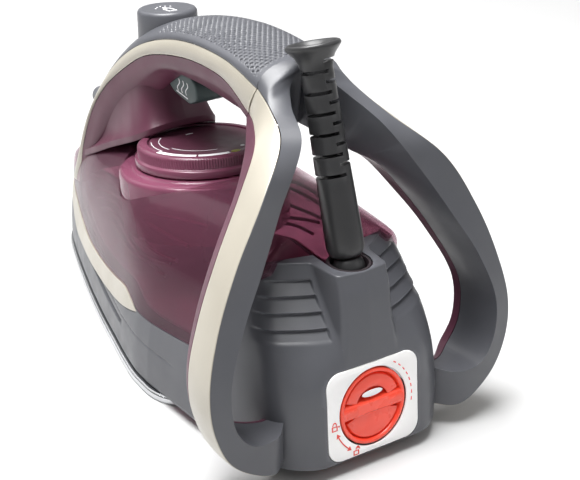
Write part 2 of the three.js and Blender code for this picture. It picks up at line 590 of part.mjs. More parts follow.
/** Plum lower shell of the grip with the web that stands between the hand opening and the nose. */
function handleShell() {
  const rim = solid(wallLoft(handleStations.map(
    (t) => wallRing(shortened(undersideRow(t)), handleCentre(t), WALL))));
  const hollow = solid(loft(handleStations.map((t) => {
    const row = undersideRow(t);
    return wallRing(row, handleCentre(t), WALL).slice(row.length);
  })));
  const web = solid(sidePlate(WEB, -10, 10)).subtract(hollow);
  const webHollow = solid(sidePlate(WEB.map(([y, z]) => [y + 2.6, z + (z < 102 ? WALL : 0)]), -7.6, 7.6));
  const triggerSlot = solid(box(-9.2, 9.2, 13, 49, 116, 141));
  const tankSpace = bodyEnvelope(0.5, TANK.heelY).add(dialClearance());
  return rim.add(web).subtract(webHollow).subtract(triggerSlot).subtract(tankSpace);
}

/** Room for the dial and its seat under the web. */
const dialClearance = () => solid(dialSeated(rod(DIAL.seatR + 2.2, -24, -DIAL.height, 28)))
  .add(solid(dialSeated(rod(DIAL.r + 1, -DIAL.height - 1, 1.2, 28))));

/** Grey rear half of one leg; its root reaches past the middle plane, so that both legs join. */
function legShell() {
  const past = (p, t) => p.setX(p.x - Math.max(0, 1.5 - 30 * t));
  return solid(wallLoft(legStations.map((t) => wallRing(
    shortened([legEdges.rearOuter(t), past(legEdges.rearInner(t), t), past(legEdges.inner(t), t)]),
    legCentre(t), WALL))));
}

function legTrim() {
  return wallLoft(legStations.map((t) => wallRing(
    shortened([legEdges.trimFront(t), legEdges.rearOuter(t)]), legCentre(t), TRIM)));
}

function legLiner() {
  return wallLoft(legStations.map((t) => wallRing(
    shortened([legEdges.inner(t), legEdges.frontInner(t), legEdges.frontOuter(t), legEdges.trimFront(t)]),
    legCentre(t), WALL)));
}

/** Both grey leg halves, joined by a saddle under the back of the grip. */
function rearShell() {
  const right = legShell();
  const left = solid(mirrored(geometryOf(right)));
  const saddle = solid(sidePlate([[-51.5, 140], [-51.5, 158], [-55, 150], [-63, 140], [-58, 137.6]], -12, 12));
  return right.add(left).add(saddle);
}

// ---------------------------------------------------------------- dial, thermostat and valve
const KNURLS = 30;
const KNURL_DEPTH = 0.8;

/** Grip ring of the dial: a toothed outline extruded, open in the middle for the scale disc. */
function dialRing() {
  const teeth = range(0, 2 * Math.PI, KNURLS * 2).slice(1).map((a, i) => {
    const r = DIAL.r - (i % 2 ? KNURL_DEPTH : 0);
    return [r * Math.cos(a), r * Math.sin(a)];
  });
  const hole = circle(0, 0, DIAL.discR + GAP, 28).reverse();
  return dialSeated(planPlate(teeth, -DIAL.height, -0.6, [hole]));
}

const dialDisc = () => dialSeated(turned([[0, -9.2], [6, -9.2], [6, -3.4], [DIAL.discR, -3.4],
  [DIAL.discR, -0.9], [0, -0.9]], 28));
const dialShaft = () => dialSeated(rod(DIAL.shaftR, -71.6, -9.7, 12));
const thermostat = () => dialSeated(turned([[0, -81], [11, -81], [11, -75], [7, -75], [7, -72], [0, -72]], 18));
const thermalFuse = () => rod(2.2, -9, 9, 10).rotateY(Math.PI / 2).translate(0, -14, CASTING.top + 4);
const dripValve = () => tube(VALVE.bodyR, VALVE.boreR, CASTING.top + 6, 35, 12).translate(0, VALVE.y, 0);
const valveNeedle = () => turned([[0, 23], [VALVE.needleR, 26], [VALVE.needleR, 62], [4, 63], [4, 65],
  [0, 65]], 10).translate(0, VALVE.y, 0);

// ---------------------------------------------------------------- buttons, trigger and pumps in the handle
const buttonSeated = (geometry) => seat(geometry, BUTTON.centre, BUTTON.lean);

const sprayButton = () => buttonSeated(turned([[0, -14], [BUTTON.r + 1, -14], [BUTTON.r + 0.4, -1.6],
  [BUTTON.r - 1.2, 0], [0, -0.6]], 28));
const sprayPiston = () => buttonSeated(rod(PUMP.pistonR, -32, -14.4, 10));
const spraySpring = () => buttonSeated(coil(5.6, 0.5, 7, 4).translate(0, 0, -22.4));
const sprayPump = () => buttonSeated(turned([[PUMP.bore, -23.6], [5.6, -23.6], [5.6, -43], [0, -43], [0, -38],
  [PUMP.bore, -38], [PUMP.bore, -23.6]], 14));
const sprayNozzle = () => aim(turned([[0, -6], [NOZZLE.r, -6], [NOZZLE.r, 3], [3.6, 6], [1.4, 6], [1, 4.5],
  [0, 4.5]], 16), NOZZLE.from, NOZZLE.to);

// Side outline of the steam trigger, as [y, z].
const TRIGGER = [[44.6, 134], [22, 134], [16.6, 131], [15.4, 123.4], [21.6, 119.6], [36, 121.6], [44, 126.6]];
const crossRod = (r, half, sides) => rod(r, -half, half, sides).rotateY(Math.PI / 2)
  .translate(...TRIGGER_PIVOT);
const steamTrigger = () => solid(sidePlate(TRIGGER, -8.6, 8.6)).subtract(solid(crossRod(1.9, 20, 12)));
const triggerPin = () => crossRod(1.5, 9.4, 10);
const steamPiston = () => rod(PUMP.pistonR, 134.5, 148, 10).translate(0, PUMP.steamY, 0);
const steamPump = () => turned([[PUMP.bore, 142], [6, 142], [6, 157], [0, 157], [0, 154.6], [PUMP.bore, 154.6],
  [PUMP.bore, 142]], 14).translate(0, PUMP.steamY, 0);

const SPRAY_HOSE = [[7.8, 52, 116], [12, 66, 109], [12.6, 84, 99], [9, 99, 92], [4, 108, 90.4]];
const WATER_HOSE = [[-4.6, 72, 93], [-11, 68, 106], [-13, 58, 124], [-12.4, 42, 141], [-8, 27, 147]];
const fillDuct = () => tube(FILLER.outer, FILLER.inner, FILLER.bottom, FILLER.top, 14)
  .translate(0, FILLER.y, 0);

// ---------------------------------------------------------------- heel: collector, label, cord
function collectorKnob() {
  const rim = KNOB.r - 2;
  const cup = turned([[0, -KNOB.depth], [KNOB.r, -KNOB.depth], [KNOB.r, 0], [rim, 0], [rim, -6], [0, -6]], 28);
  const handle = box(-KNOB.r + 1, KNOB.r - 1, -4.6, 4.6, -7, 0);
  return solid(heelSeat(cup)).add(solid(heelSeat(handle)));
}

const collectorRod = () => heelSeat(turned([[0, -66], [4, -66], [7.4, -62], [7.4, -13], [4, -13], [4, -8.4],
  [0, -8.4]], 16));
const collectorSeal = () => heelSeat(tube(7, 4.4, -12.6, -10.4, 16));
const collectorHousing = () => heelSeat(tube(10.4, 7.9, -69, -10.6, 18));

const guardDirection = vec(GUARD_AXIS).normalize();
const alongGuard = (distance) => vec(BALL.centre).addScaledVector(guardDirection, distance).toArray();
const guardSeated = (geometry) => aim(geometry, alongGuard(0), alongGuard(1));

const cordSocket = () => tube(BALL.r + 2.8, BALL.r + 1.3, 76, 87, 20).translate(0, BALL.centre[1], 0);

/** Ball of the cord joint, cut flat where the guard stands on it. */
function cordKnuckle() {
  const ball = solid(new THREE.SphereGeometry(BALL.r - 1.4, 14, 8).translate(...BALL.centre));
  return ball.subtract(solid(box(-20, 20, -110, -70, BALL.centre[2] + 2.2, 110)));
}

// Outline of the cord guard, as [radius, distance from the ball].
const GUARD_PROFILE = [[6.2, GUARD.foot], [8.2, 14], [7.6, 40], [6.9, 78], [6.9, 84], [11.5, 92], [11.5, 94],
  [10.5, GUARD.tip]];

/** Flexible sleeve of the cord, slotted from both sides in turn so that it bends. */
function cordGuard() {
  const skin = [[GUARD.bore, GUARD.foot], ...GUARD_PROFILE, [GUARD.bore, GUARD.tip], [GUARD.bore, GUARD.foot]];
  const slots = Array.from({ length: GUARD.slots }, (_, i) => {
    const [near, far] = i % 2 ? [1.5, 12] : [-12, -1.5];
    const low = GUARD.firstSlot + i * GUARD.pitch;
    return solid(guardSeated(box(near, far, -12, 12, low, low + GUARD.slotWide)));
  });
  return slots.reduce((piece, slot) => piece.subtract(slot), solid(guardSeated(turned(skin, 14))));
}

const terminalBlock = () => box(-14, 14, -88, -70, 44, 56);
const MAINS_LEAD = [[0, -80, 58], [0, -84, 62], [0, -90, 68], [0, -91.5, 76.4]];

// ---------------------------------------------------------------- assembly
place('soleplate', soleplate(), MATERIAL.chrome);
place('sole_casting', soleCasting(), MATERIAL.castAluminium);
place('heating_element', elementBar(CASTING.elementR), MATERIAL.steel);
place('steam_chamber_lid', chamberLid(), MATERIAL.castAluminium);
place('heat_shield', heatShield(), MATERIAL.darkPlastic);
place('thermostat', thermostat(), MATERIAL.brass);
place('thermal_fuse', thermalFuse(), MATERIAL.steel);
place('skirt', skirt(), MATERIAL.greyPlastic);
placePair('skirt_trim', skirtTrim(), MATERIAL.champagne);
place('water_tank', waterTank(), MATERIAL.clearPlum);
place('dial_seat', dialSeat(), MATERIAL.clearPlum);
place('drip_valve', dripValve(), MATERIAL.brass);
place('valve_needle', valveNeedle(), MATERIAL.steel);
place('dial_shaft', dialShaft(), MATERIAL.darkPlastic);
place('dial_ring', dialRing(), MATERIAL.clearPlum);
place('dial_disc', dialDisc(), MATERIAL.plum);

place('handle_shell', handleShell(), MATERIAL.plum);
place('grip_cover', gripCover(), MATERIAL.greyPlastic);
place('fill_door', fillDoor(), MATERIAL.greyPlastic);
place('fill_duct', fillDuct(), MATERIAL.darkPlastic);
placePair('handle_trim', handleTrim(), MATERIAL.champagne);
place('spray_button', sprayButton(), MATERIAL.greyPlastic);
place('spray_piston', sprayPiston(), MATERIAL.hose);
place('spray_spring', spraySpring(), MATERIAL.steel);
place('spray_pump', sprayPump(), MATERIAL.hose);
place('spray_nozzle', sprayNozzle(), MATERIAL.greyPlastic);
place('spray_hose', bar(SPRAY_HOSE, 1.5, 6, 18), MATERIAL.hose);
place('steam_trigger', steamTrigger(), MATERIAL.triggerPlastic);
place('trigger_pin', triggerPin(), MATERIAL.steel);
place('steam_piston', steamPiston(), MATERIAL.hose);
place('steam_pump', steamPump(), MATERIAL.hose);
place('water_hose', bar(WATER_HOSE, 1.5, 6, 18), MATERIAL.hose);

place('rear_shell', rearShell(), MATERIAL.greyPlastic);
placePair('leg_trim', legTrim(), MATERIAL.champagne);
placePair('leg_liner', legLiner(), MATERIAL.plum);

place('rear_cover', rearCover(), MATERIAL.greyPlastic);
place('heel_base', heelBase(), MATERIAL.darkPlastic);
place('terminal_block', terminalBlock(), MATERIAL.hose);
place('mains_lead', bar(MAINS_LEAD, 3, 8, 10), MATERIAL.blackRubber);
place('cord_socket', cordSocket(), MATERIAL.greyPlastic);
place('cord_knuckle', cordKnuckle(), MATERIAL.blackRubber);
place('cord_guard', cordGuard(), MATERIAL.blackRubber);
place('label_plate', labelPlate(), MATERIAL.whiteLabel);
place('collector_knob', collectorKnob(), MATERIAL.redPlastic);
place('collector_rod', collectorRod(), MATERIAL.redPlastic);
place('collector_seal', collectorSeal(), MATERIAL.rubber);
place('collector_housing', collectorHousing(), MATERIAL.darkPlastic);

export default iron;
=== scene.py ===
# The looks of a steam iron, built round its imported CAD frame: fine meshes and procedural materials.
# Millimetres in the shape code, metres in the meshes; +X right, +Y to the nose, +Z up, middle plane x = 0.
import json
import math

import bmesh
import bpy
import numpy as np
from mathutils import Matrix, Vector


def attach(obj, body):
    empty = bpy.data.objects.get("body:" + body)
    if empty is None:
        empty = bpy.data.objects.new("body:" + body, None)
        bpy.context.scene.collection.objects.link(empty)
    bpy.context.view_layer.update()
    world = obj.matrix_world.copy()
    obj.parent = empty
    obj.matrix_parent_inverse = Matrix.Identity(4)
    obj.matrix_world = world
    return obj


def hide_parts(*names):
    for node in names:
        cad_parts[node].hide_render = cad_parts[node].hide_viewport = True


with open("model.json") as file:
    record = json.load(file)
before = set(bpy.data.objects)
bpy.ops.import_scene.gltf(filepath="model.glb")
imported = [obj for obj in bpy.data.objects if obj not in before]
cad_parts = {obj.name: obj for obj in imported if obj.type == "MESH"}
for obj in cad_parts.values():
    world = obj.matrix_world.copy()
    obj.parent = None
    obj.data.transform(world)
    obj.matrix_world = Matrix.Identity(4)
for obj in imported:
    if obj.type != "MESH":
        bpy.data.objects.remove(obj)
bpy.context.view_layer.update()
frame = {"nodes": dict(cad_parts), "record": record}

# ------------------------------------------------------------------ driving sizes, millimetres
MM = 0.001
WALL, TRIM, SIDE_GAP = 2.4, 1.6, 0.25
SOLE_WAIST, SOLE_HEEL = -18, -49
SOLE_THICK, SKIRT_FOOT, SKIRT_LEAN = 3.3, 4.5, 2
DIAL_CENTRE, DIAL_LEAN, DISC_R, DIAL_TOP = (0, 23.8, 98.7), 7.4, 25.5, 1.6
DIAL_BORE, DIAL_RING_R, KNURLS = 40.9, 31, 150
BUTTON_CENTRE, BUTTON_LEAN, BUTTON_R, BUTTON_GAP = (0, 56.6, 156), 6.7, 13.8, 1.6
HEEL_CENTRE, HEEL_LEAN, KNOB_R, KNOB_HOLE = (0, -114.7, 27.5), 7.9, 17.4, 18.1
LABEL_HALF, LABEL_TALL, LABEL_CORNER, LABEL_THICK = 24.2, 41, 7, 0.8
BALL_CENTRE, BALL_R = (0, -92, 84), 7.6
GUARD_AXIS, GUARD_SLOTS, GUARD_PITCH = (-3, 29, 92), 12, 4.3
TRIGGER_PIVOT, TRIGGER_HALF = (0, 42, 130.6), 8.6

# Half-width of the soleplate, height of the skirt's joint, lower edge of the skirt's strip, crown of
# the tank and squareness of its shoulders, each against the place along the iron.
SOLE_HALF = [(152, 0), (149.5, 4.5), (141, 12.3), (120, 21), (97, 28.7), (73, 36.2), (50, 42.6),
             (30, 47.6), (10, 52.4), (-5, 55.3), (-18, 56)]
SKIRT_TOP = [(152, 42), (140, 38), (126, 34.5), (98, 29), (78, 29.3), (50, 33), (30, 36.6),
             (14, 40), (5, 38.2), (-4, 36), (-24, 37), (-56, 40.5)]
TRIM_LOW = [(152, 32), (138, 29), (116, 20), (91, 19), (61, 21.8), (38.8, 24.5), (24, 27),
            (8.6, 31), (-5, 35.5)]
TANK_TOP = [(150, 44), (146, 50), (136, 58), (122, 66), (108, 71), (89, 79), (60, 87), (40, 90),
            (20, 92), (0, 95), (-20, 98), (-50, 101), (-80, 95)]
TANK_SQUARE = [(150, 4.4), (110, 4.2), (70, 3.2), (20, 3.6), (-20, 2.6), (-50, 2.3), (-80, 2.8)]

# Long edges of the handle, from the seam behind the grip down to the nose.
HANDLE = {
    "top": [(0, -50, 164), (0, -28, 165), (0, 0, 164.4), (0, 30, 158.6), (0, 58, 146), (0, 80, 131),
            (0, 99, 113), (0, 116, 93), (0, 129, 73), (0, 140, 58), (0, 149.5, 45)],
    "trim_top": [(21, -51, 154), (20.5, -28, 158.6), (20.5, 0, 158), (20.5, 25, 152.6),
                 (20.5, 50, 141.6), (20.5, 72, 125.6), (20.5, 89, 107), (20, 103, 86),
                 (19, 113.5, 66), (17, 123, 52), (13.2, 133.5, 43)],
    "trim_low": [(21.5, -46, 141.5), (21, -27, 149.6), (21, -4, 150.6), (21, 20, 146.6),
                 (21, 42, 139.4), (21, 62, 126.8), (21, 80, 112.5), (20.8, 95, 95), (20.2, 106, 74),
                 (19, 112.5, 58), (16.4, 120.5, 44.5)],
    "rim": [(19, -40, 136.5), (20, -27, 143.5), (20, -4, 144.6), (20, 16, 141.6), (20, 36, 135),
            (20, 55, 122.5), (20, 73, 107.5), (20, 87, 91), (19.2, 98, 72), (18, 106, 57),
            (15.4, 115, 45.5)],
}
# Long edges of the right rear leg, from the seam down to the foot and in to the body.
LEG = {
    "rear_outer": [(21, -51.5, 154), (23, -64, 149.5), (28, -79, 142.5), (46, -94, 126.5),
                   (62, -100, 102), (73, -104.5, 78), (79, -109, 55), (77.5, -111.5, 37),
                   (69, -113, 20.5), (50, -114, 10.5), (39, -106, 11)],
    "rear_inner": [(0, -50.2, 164), (13.5, -65, 151), (20.5, -83, 141.5), (37, -93, 118.5),
                   (50, -100.5, 98), (61.5, -106, 79), (70, -111, 56), (68, -113, 37),
                   (60, -114, 28.4), (48, -113, 28), (39, -104, 29)],
    "inner": [(0, -52, 135), (9, -61, 129.5), (16, -68, 125), (27, -72, 118.5), (40, -73, 105),
              (56, -79.5, 82.5), (68.5, -87, 57), (67.5, -90, 38), (60, -92, 28.4), (48, -99, 27.5),
              (39, -98, 28)],
    "front_inner": [(9, -49.5, 134.2), (15, -52, 127.5), (21, -58, 122), (29, -61, 116),
                    (41, -66.5, 101.5), (55, -74, 82), (67.5, -82, 57), (67, -85, 38), (60.5, -86, 27),
                    (48, -95, 26), (39, -95, 26.5)],
    "front_outer": [(19, -40, 136.5), (25, -48.5, 135.5), (33.5, -60.5, 132), (44.5, -71.5, 121.5),
                    (58.5, -77.5, 100), (69, -81.5, 78), (75, -84.5, 56), (73.8, -86, 38),
                    (66, -90, 20.5), (48.5, -97, 11.5), (39, -95.5, 12)],
    "trim_front": [(21.5, -46.5, 141.5), (27, -58, 141), (35.5, -71, 137), (46.5, -78.5, 124),
                   (61, -84.3, 101), (71.3, -87.5, 78), (77, -89.5, 56), (76, -91, 38),
                   (68, -95, 19.5), (50, -100, 10), (39, -97, 10.5)],
}
# Inner edge of each leg's rear face where it opens from the crown: the arch over the cord.
ARCH = [(0, -50.2, 164), (0, -54, 163.2), (2.5, -57, 161.6), (7, -57.5, 158.4), (10.4, -59.6, 154.6),
        (13.5, -65, 151)]


# ------------------------------------------------------------------ curves
def through(pairs):
    """Smooth function through (key, value) pairs, held flat beyond both ends."""
    keys, values = np.array(sorted(pairs), float).T
    low, high = np.r_[0, np.arange(len(keys) - 1)], np.r_[np.arange(1, len(keys)), len(keys) - 1]
    slope = (values[high] - values[low]) / (keys[high] - keys[low])

    def at(key):
        key = np.clip(np.asarray(key, float), keys[0], keys[-1])
        i = np.clip(np.searchsorted(keys, key, side="right") - 1, 0, len(keys) - 2)
        span = keys[i + 1] - keys[i]
        t = (key - keys[i]) / span
        return ((2 * t ** 3 - 3 * t ** 2 + 1) * values[i] + (t ** 3 - 2 * t ** 2 + t) * slope[i] * span
                + (3 * t ** 2 - 2 * t ** 3) * values[i + 1] + (t ** 3 - t ** 2) * slope[i + 1] * span)
    return at


def spline(points):
    """Centripetal curve through points; equal steps of t from 0 to 1 cover equal numbers of points."""
    points = np.array(points, float)
    padded = np.vstack([2 * points[0] - points[1], points, 2 * points[-1] - points[-2]])

    def at(t):
        place = np.clip(np.asarray(t, float), 0, 1) * (len(points) - 1)
        i = np.minimum(place.astype(int), len(points) - 2)
        w = (place - i)[..., None]
        p0, p1, p2, p3 = (padded[i + k] for k in range(4))
        d0, d1, d2 = (np.linalg.norm(b - a, axis=-1, keepdims=True) ** 0.5
                      for a, b in ((p0, p1), (p1, p2), (p2, p3)))
        m1 = ((p1 - p0) / d0 - (p2 - p0) / (d0 + d1) + (p2 - p1) / d1) * d1
        m2 = ((p2 - p1) / d1 - (p3 - p1) / (d1 + d2) + (p3 - p2) / d2) * d1
        return (p1 + m1 * w + (-3 * p1 + 3 * p2 - 2 * m1 - m2) * w ** 2
                + (2 * p1 - 2 * p2 + m1 + m2) * w ** 3)
    return at


def lerp(a, b, t):
    return a + (b - a) * t


def rounded(corners, radii, flat=5, turn=5):
    """Rows of points along bent strips: straight runs between corners, each inner corner rounded off.
    corners holds arrays of shape (stations, 3) and radii one radius for each inner corner."""
    runs, start = [], corners[0]
    for k, radius in enumerate(radii, 1):
        back, ahead = corners[k - 1] - corners[k], corners[k + 1] - corners[k]
        room = np.minimum(*(np.linalg.norm(run, axis=1, keepdims=True) for run in (back, ahead)))
        cut = np.minimum(radius, 0.45 * room)
        enter, leave = corners[k] + unit(back) * cut, corners[k] + unit(ahead) * cut
        runs += [lerp(start, enter, s) for s in np.linspace(0, 1, flat, endpoint=False)]
        runs += [lerp(lerp(enter, corners[k], s), lerp(corners[k], leave, s), s)
                 for s in np.linspace(0, 1, turn, endpoint=False)]
        start = leave
    runs += [lerp(start, corners[-1], s) for s in np.linspace(0, 1, flat + 1)]
    return np.stack(runs, axis=1)


def bent(a, corner, b, count, pull_a=0.6, pull_b=0.55):
    """Rows of points along cubic arcs from a to b that lean towards a corner."""
    c, d = lerp(a, corner, pull_a), lerp(b, corner, pull_b)
    s = np.linspace(0, 1, count)[None, :, None]
    a, b, c, d = (p[:, None, :] for p in (a, b, c, d))
    return (1 - s) ** 3 * a + 3 * (1 - s) ** 2 * s * c + 3 * (1 - s) * s ** 2 * d + s ** 3 * b


def flip(points):
    return points * np.array([-1.0, 1, 1])


def mirrored(half):
    """Rows from the right edge to the middle plane, carried on to the left edge."""
    return np.concatenate([half, flip(half[:, :-1])[:, ::-1]], axis=1)


def unit(vectors):
    return vectors / np.maximum(np.linalg.norm(vectors, axis=-1, keepdims=True), 1e-6)


def pull_ends(rows, gap):
    """Shortens each row at both ends, for a joint line next to the neighbouring piece."""
    rows = rows.copy()
    for end, near in ((0, 1), (-1, -2)):
        rows[:, end] += unit(rows[:, near] - rows[:, end]) * gap
    return rows


sole_half, skirt_top, trim_low, tank_top, tank_square = map(
    through, (SOLE_HALF, SKIRT_TOP, TRIM_LOW, TANK_TOP, TANK_SQUARE))
handle = {name: spline(points) for name, points in HANDLE.items()}
leg = {name: spline(points) for name, points in LEG.items()}


# ------------------------------------------------------------------ meshes
def shown(name, data):
    """Puts a mesh, curve, light or camera in the scene."""
    holder = bpy.data.objects.new(name, data)
    bpy.context.scene.collection.objects.link(holder)
    return holder


def new_piece(name, points, faces):
    mesh = bpy.data.meshes.new(name)
    mesh.from_pydata((np.asarray(points, float).reshape(-1, 3) * MM).tolist(), [], faces)
    mesh.validate()
    return shown(name, mesh)


def moved(piece, place):
    """Lays a piece built about the origin in its place, where it has one."""
    if place is not None:
        piece.data.transform(place)
    return piece


def grid_faces(rows, cols, closed=False):
    wrap = cols if closed else cols - 1
    return [(i * cols + j, i * cols + (j + 1) % cols, (i + 1) * cols + (j + 1) % cols, (i + 1) * cols + j)
            for i in range(rows - 1) for j in range(wrap)]


def face_outwards(piece, centre):
    """Turns an open sheet's faces away from a centre line given as one point per row, or one point."""
    mesh = piece.data
    centre = np.atleast_2d(centre) * MM
    total = 0.0
    for k in range(0, len(mesh.polygons), max(1, len(mesh.polygons) // 400)):
        face = mesh.polygons[k]
        near = centre[np.argmin(np.linalg.norm(centre - np.array(face.center), axis=1))]
        total += float(np.dot(np.array(face.normal), np.array(face.center) - near)) * face.area
    if total < 0:
        mesh.flip_normals()


def bake(piece):
    """Applies the piece's modifiers to its mesh."""
    bpy.context.view_layer.update()
    made = bpy.data.meshes.new_from_object(piece.evaluated_get(bpy.context.evaluated_depsgraph_get()))
    piece.modifiers.clear()
    piece.data = made
    return piece


def thicken(piece, thickness):
    solid = piece.modifiers.new("wall", "SOLIDIFY")
    solid.thickness, solid.offset = thickness * MM, -1
    solid.thickness_clamp = 0.6
    return bake(piece)


def soften(piece, width=0.35, angle=40):
    """Rounds off every edge sharper than an angle."""
    bevel = piece.modifiers.new("soft_edges", "BEVEL")
    bevel.width, bevel.segments = width * MM, 2
    bevel.limit_method, bevel.angle_limit = "ANGLE", math.radians(angle)
    bevel.use_clamp_overlap = True
    bevel.miter_outer = "MITER_ARC"
    return bake(piece)


def reworked(piece, work):
    """Runs a job on a piece's mesh in edit form."""
    bm = bmesh.new()
    bm.from_mesh(piece.data)
    work(bm)
    bm.to_mesh(piece.data)
    bm.free()
    return piece


def weld(piece, distance=0.01):
    """Joins points that lie on each other and takes out empty faces."""
    def work(bm):
        bmesh.ops.remove_doubles(bm, verts=bm.verts, dist=distance * MM)
        bmesh.ops.dissolve_degenerate(bm, edges=bm.edges, dist=distance * 0.1 * MM)
    return reworked(piece, work)


def outwards(piece):
    """Makes a closed mesh's faces point out."""
    return reworked(piece, lambda bm: bmesh.ops.recalc_face_normals(bm, faces=bm.faces))


def join(name, pieces):
    """One piece made of several meshes."""
    bm = bmesh.new()
    for piece in pieces:
        bm.from_mesh(piece.data)
        bpy.data.objects.remove(piece)
    mesh = bpy.data.meshes.new(name)
    bm.to_mesh(mesh)
    bm.free()
    return shown(name, mesh)


def cut(piece, *tools):
    """Takes closed tool meshes away from a piece."""
    for tool in tools:
        boolean = piece.modifiers.new("cut", "BOOLEAN")
        boolean.operation, boolean.solver, boolean.object = "DIFFERENCE", "EXACT", tool
        bake(piece)
        bpy.data.objects.remove(tool)
    return piece


def wall(name, rows, thickness, centre, merge=0.01):
    """Wall laid over rows of points, thick towards a centre line."""
    piece = weld(new_piece(name, rows, grid_faces(*rows.shape[:2])), merge)
    face_outwards(piece, centre)
    return thicken(piece, thickness)


def sheet(name, rows, thickness, centre, gap=0.0, edge=0.35):
    """Wall with softened rims, cut short by a gap at both ends of its rows."""
    piece = wall(name, pull_ends(rows, gap) if gap else rows, thickness, centre)
    return soften(piece, edge) if edge else piece


def capped(name, rings):
    """Closed skin over rings of equal length, with a flat face at each end."""
    rings = np.asarray(rings, float)
    count, cols = rings.shape[:2]
    faces = grid_faces(count, cols, closed=True)
    faces += [tuple(range(cols))[::-1], tuple(range((count - 1) * cols, count * cols))]
    return outwards(weld(new_piece(name, rings, faces)))


def prism(name, outline, half_width):
    """Closed block across the middle plane from an outline of (y, z) points."""
    return capped(name, [[(x, y, z) for y, z in outline] for x in (-half_width, half_width)])


def lathe(name, profile, segments=96, place=None):
    """Turned piece from (radius, height) points about +Z; the profile closes on itself or on the axis."""
    angles = np.linspace(0, 2 * math.pi, segments, endpoint=False)
    profile = np.array(profile, float)
    rows = np.stack([np.stack([r * np.cos(angles), r * np.sin(angles), np.full(segments, h)], -1)
                     for r, h in profile])
    piece = outwards(weld(new_piece(name, rows, grid_faces(len(profile), segments, closed=True))))
    return moved(piece, place)


def plate(name, outlines, low, high, bevel=0.25, place=None):
    """Flat plate from closed outlines of (x, y) points, later ones being holes, with rounded edges."""
    curve = bpy.data.curves.new(name, "CURVE")
    curve.dimensions, curve.fill_mode = "2D", "BOTH"
    curve.extrude = (high - low) / 2 - bevel
    curve.bevel_depth, curve.bevel_resolution, curve.offset = bevel, 2, -bevel
    for outline in outlines:
        line = curve.splines.new("POLY")
        line.points.add(len(outline) - 1)
        for point, (x, y) in zip(line.points, outline):
            point.co = (x, y, 0, 1)
        line.use_cyclic_u = True
    holder = shown(name, curve)
    bpy.context.view_layer.update()
    mesh = bpy.data.meshes.new_from_object(holder.evaluated_get(bpy.context.evaluated_depsgraph_get()))
    bpy.data.objects.remove(holder)
    mesh.transform(Matrix.Translation((0, 0, (low + high) / 2)))
    mesh.transform(Matrix.Scale(MM, 4))
    return weld(moved(shown(name, mesh), place), 0.002)


def ring(radius, count=48, centre=(0, 0)):
    return [(centre[0] + radius * math.cos(2 * math.pi * k / count),
             centre[1] + radius * math.sin(2 * math.pi * k / count)) for k in range(count)]


def rounded_box(half_x, half_y, corner, steps=6):
    """Outline of a rectangle with round corners, counter-clockwise."""
    return [(sx * (half_x - corner) + corner * math.cos(a), sy * (half_y - corner) + corner * math.sin(a))
            for k, (sx, sy) in enumerate(((1, 1), (-1, 1), (-1, -1), (1, -1)))
            for a in np.linspace(k * math.pi / 2, (k + 1) * math.pi / 2, steps)]


def arc_band(radius, width, start, end, steps=24):
    """Outline of a band along an arc, in degrees."""
    sweep = np.radians(np.linspace(start, end, steps))
    return [((radius + out * width / 2) * math.cos(a), (radius + out * width / 2) * math.sin(a))
            for out in (1, -1) for a in sweep[::out]]


def bar(name, points, radius, sides, steps):
    """Round bar along a smooth line."""
    line = spline(points)(np.linspace(0, 1, steps))
    tangent = unit(np.gradient(line, axis=0))
    side = unit(np.cross(tangent, (0.13, 0.31, 0.94)))
    other = np.cross(tangent, side)
    a = np.linspace(0, 2 * math.pi, sides, endpoint=False)[None, :, None]
    return capped(name, line[:, None] + radius * (side[:, None] * np.cos(a) + other[:, None] * np.sin(a)))


def seat(centre, lean_deg):
    """Matrix that stands a shape built about +Z on a leaning axis through a centre, in metres."""
    return Matrix.Translation(Vector(centre) * MM) @ Matrix.Rotation(math.radians(-lean_deg), 4, "X")


def aim(start, direction):
    """Matrix that lays a shape built about +Z along a direction."""
    turn = Vector((0, 0, 1)).rotation_difference(Vector(direction).normalized())
    return Matrix.Translation(Vector(start) * MM) @ turn.to_matrix().to_4x4()


DIAL_SEAT = seat(DIAL_CENTRE, DIAL_LEAN)
BUTTON_SEAT = seat(BUTTON_CENTRE, BUTTON_LEAN)
HEEL_SEAT = seat(HEEL_CENTRE, HEEL_LEAN - 90)
GUARD_SEAT = aim(BALL_CENTRE, GUARD_AXIS)


# ------------------------------------------------------------------ materials
def linear(srgb):
    """Linear colour with alpha from an sRGB colour of 0 to 255."""
    return tuple((c / 255 / 12.92 if c <= 10 else ((c / 255 + 0.055) / 1.055) ** 2.4) for c in srgb) + (1,)


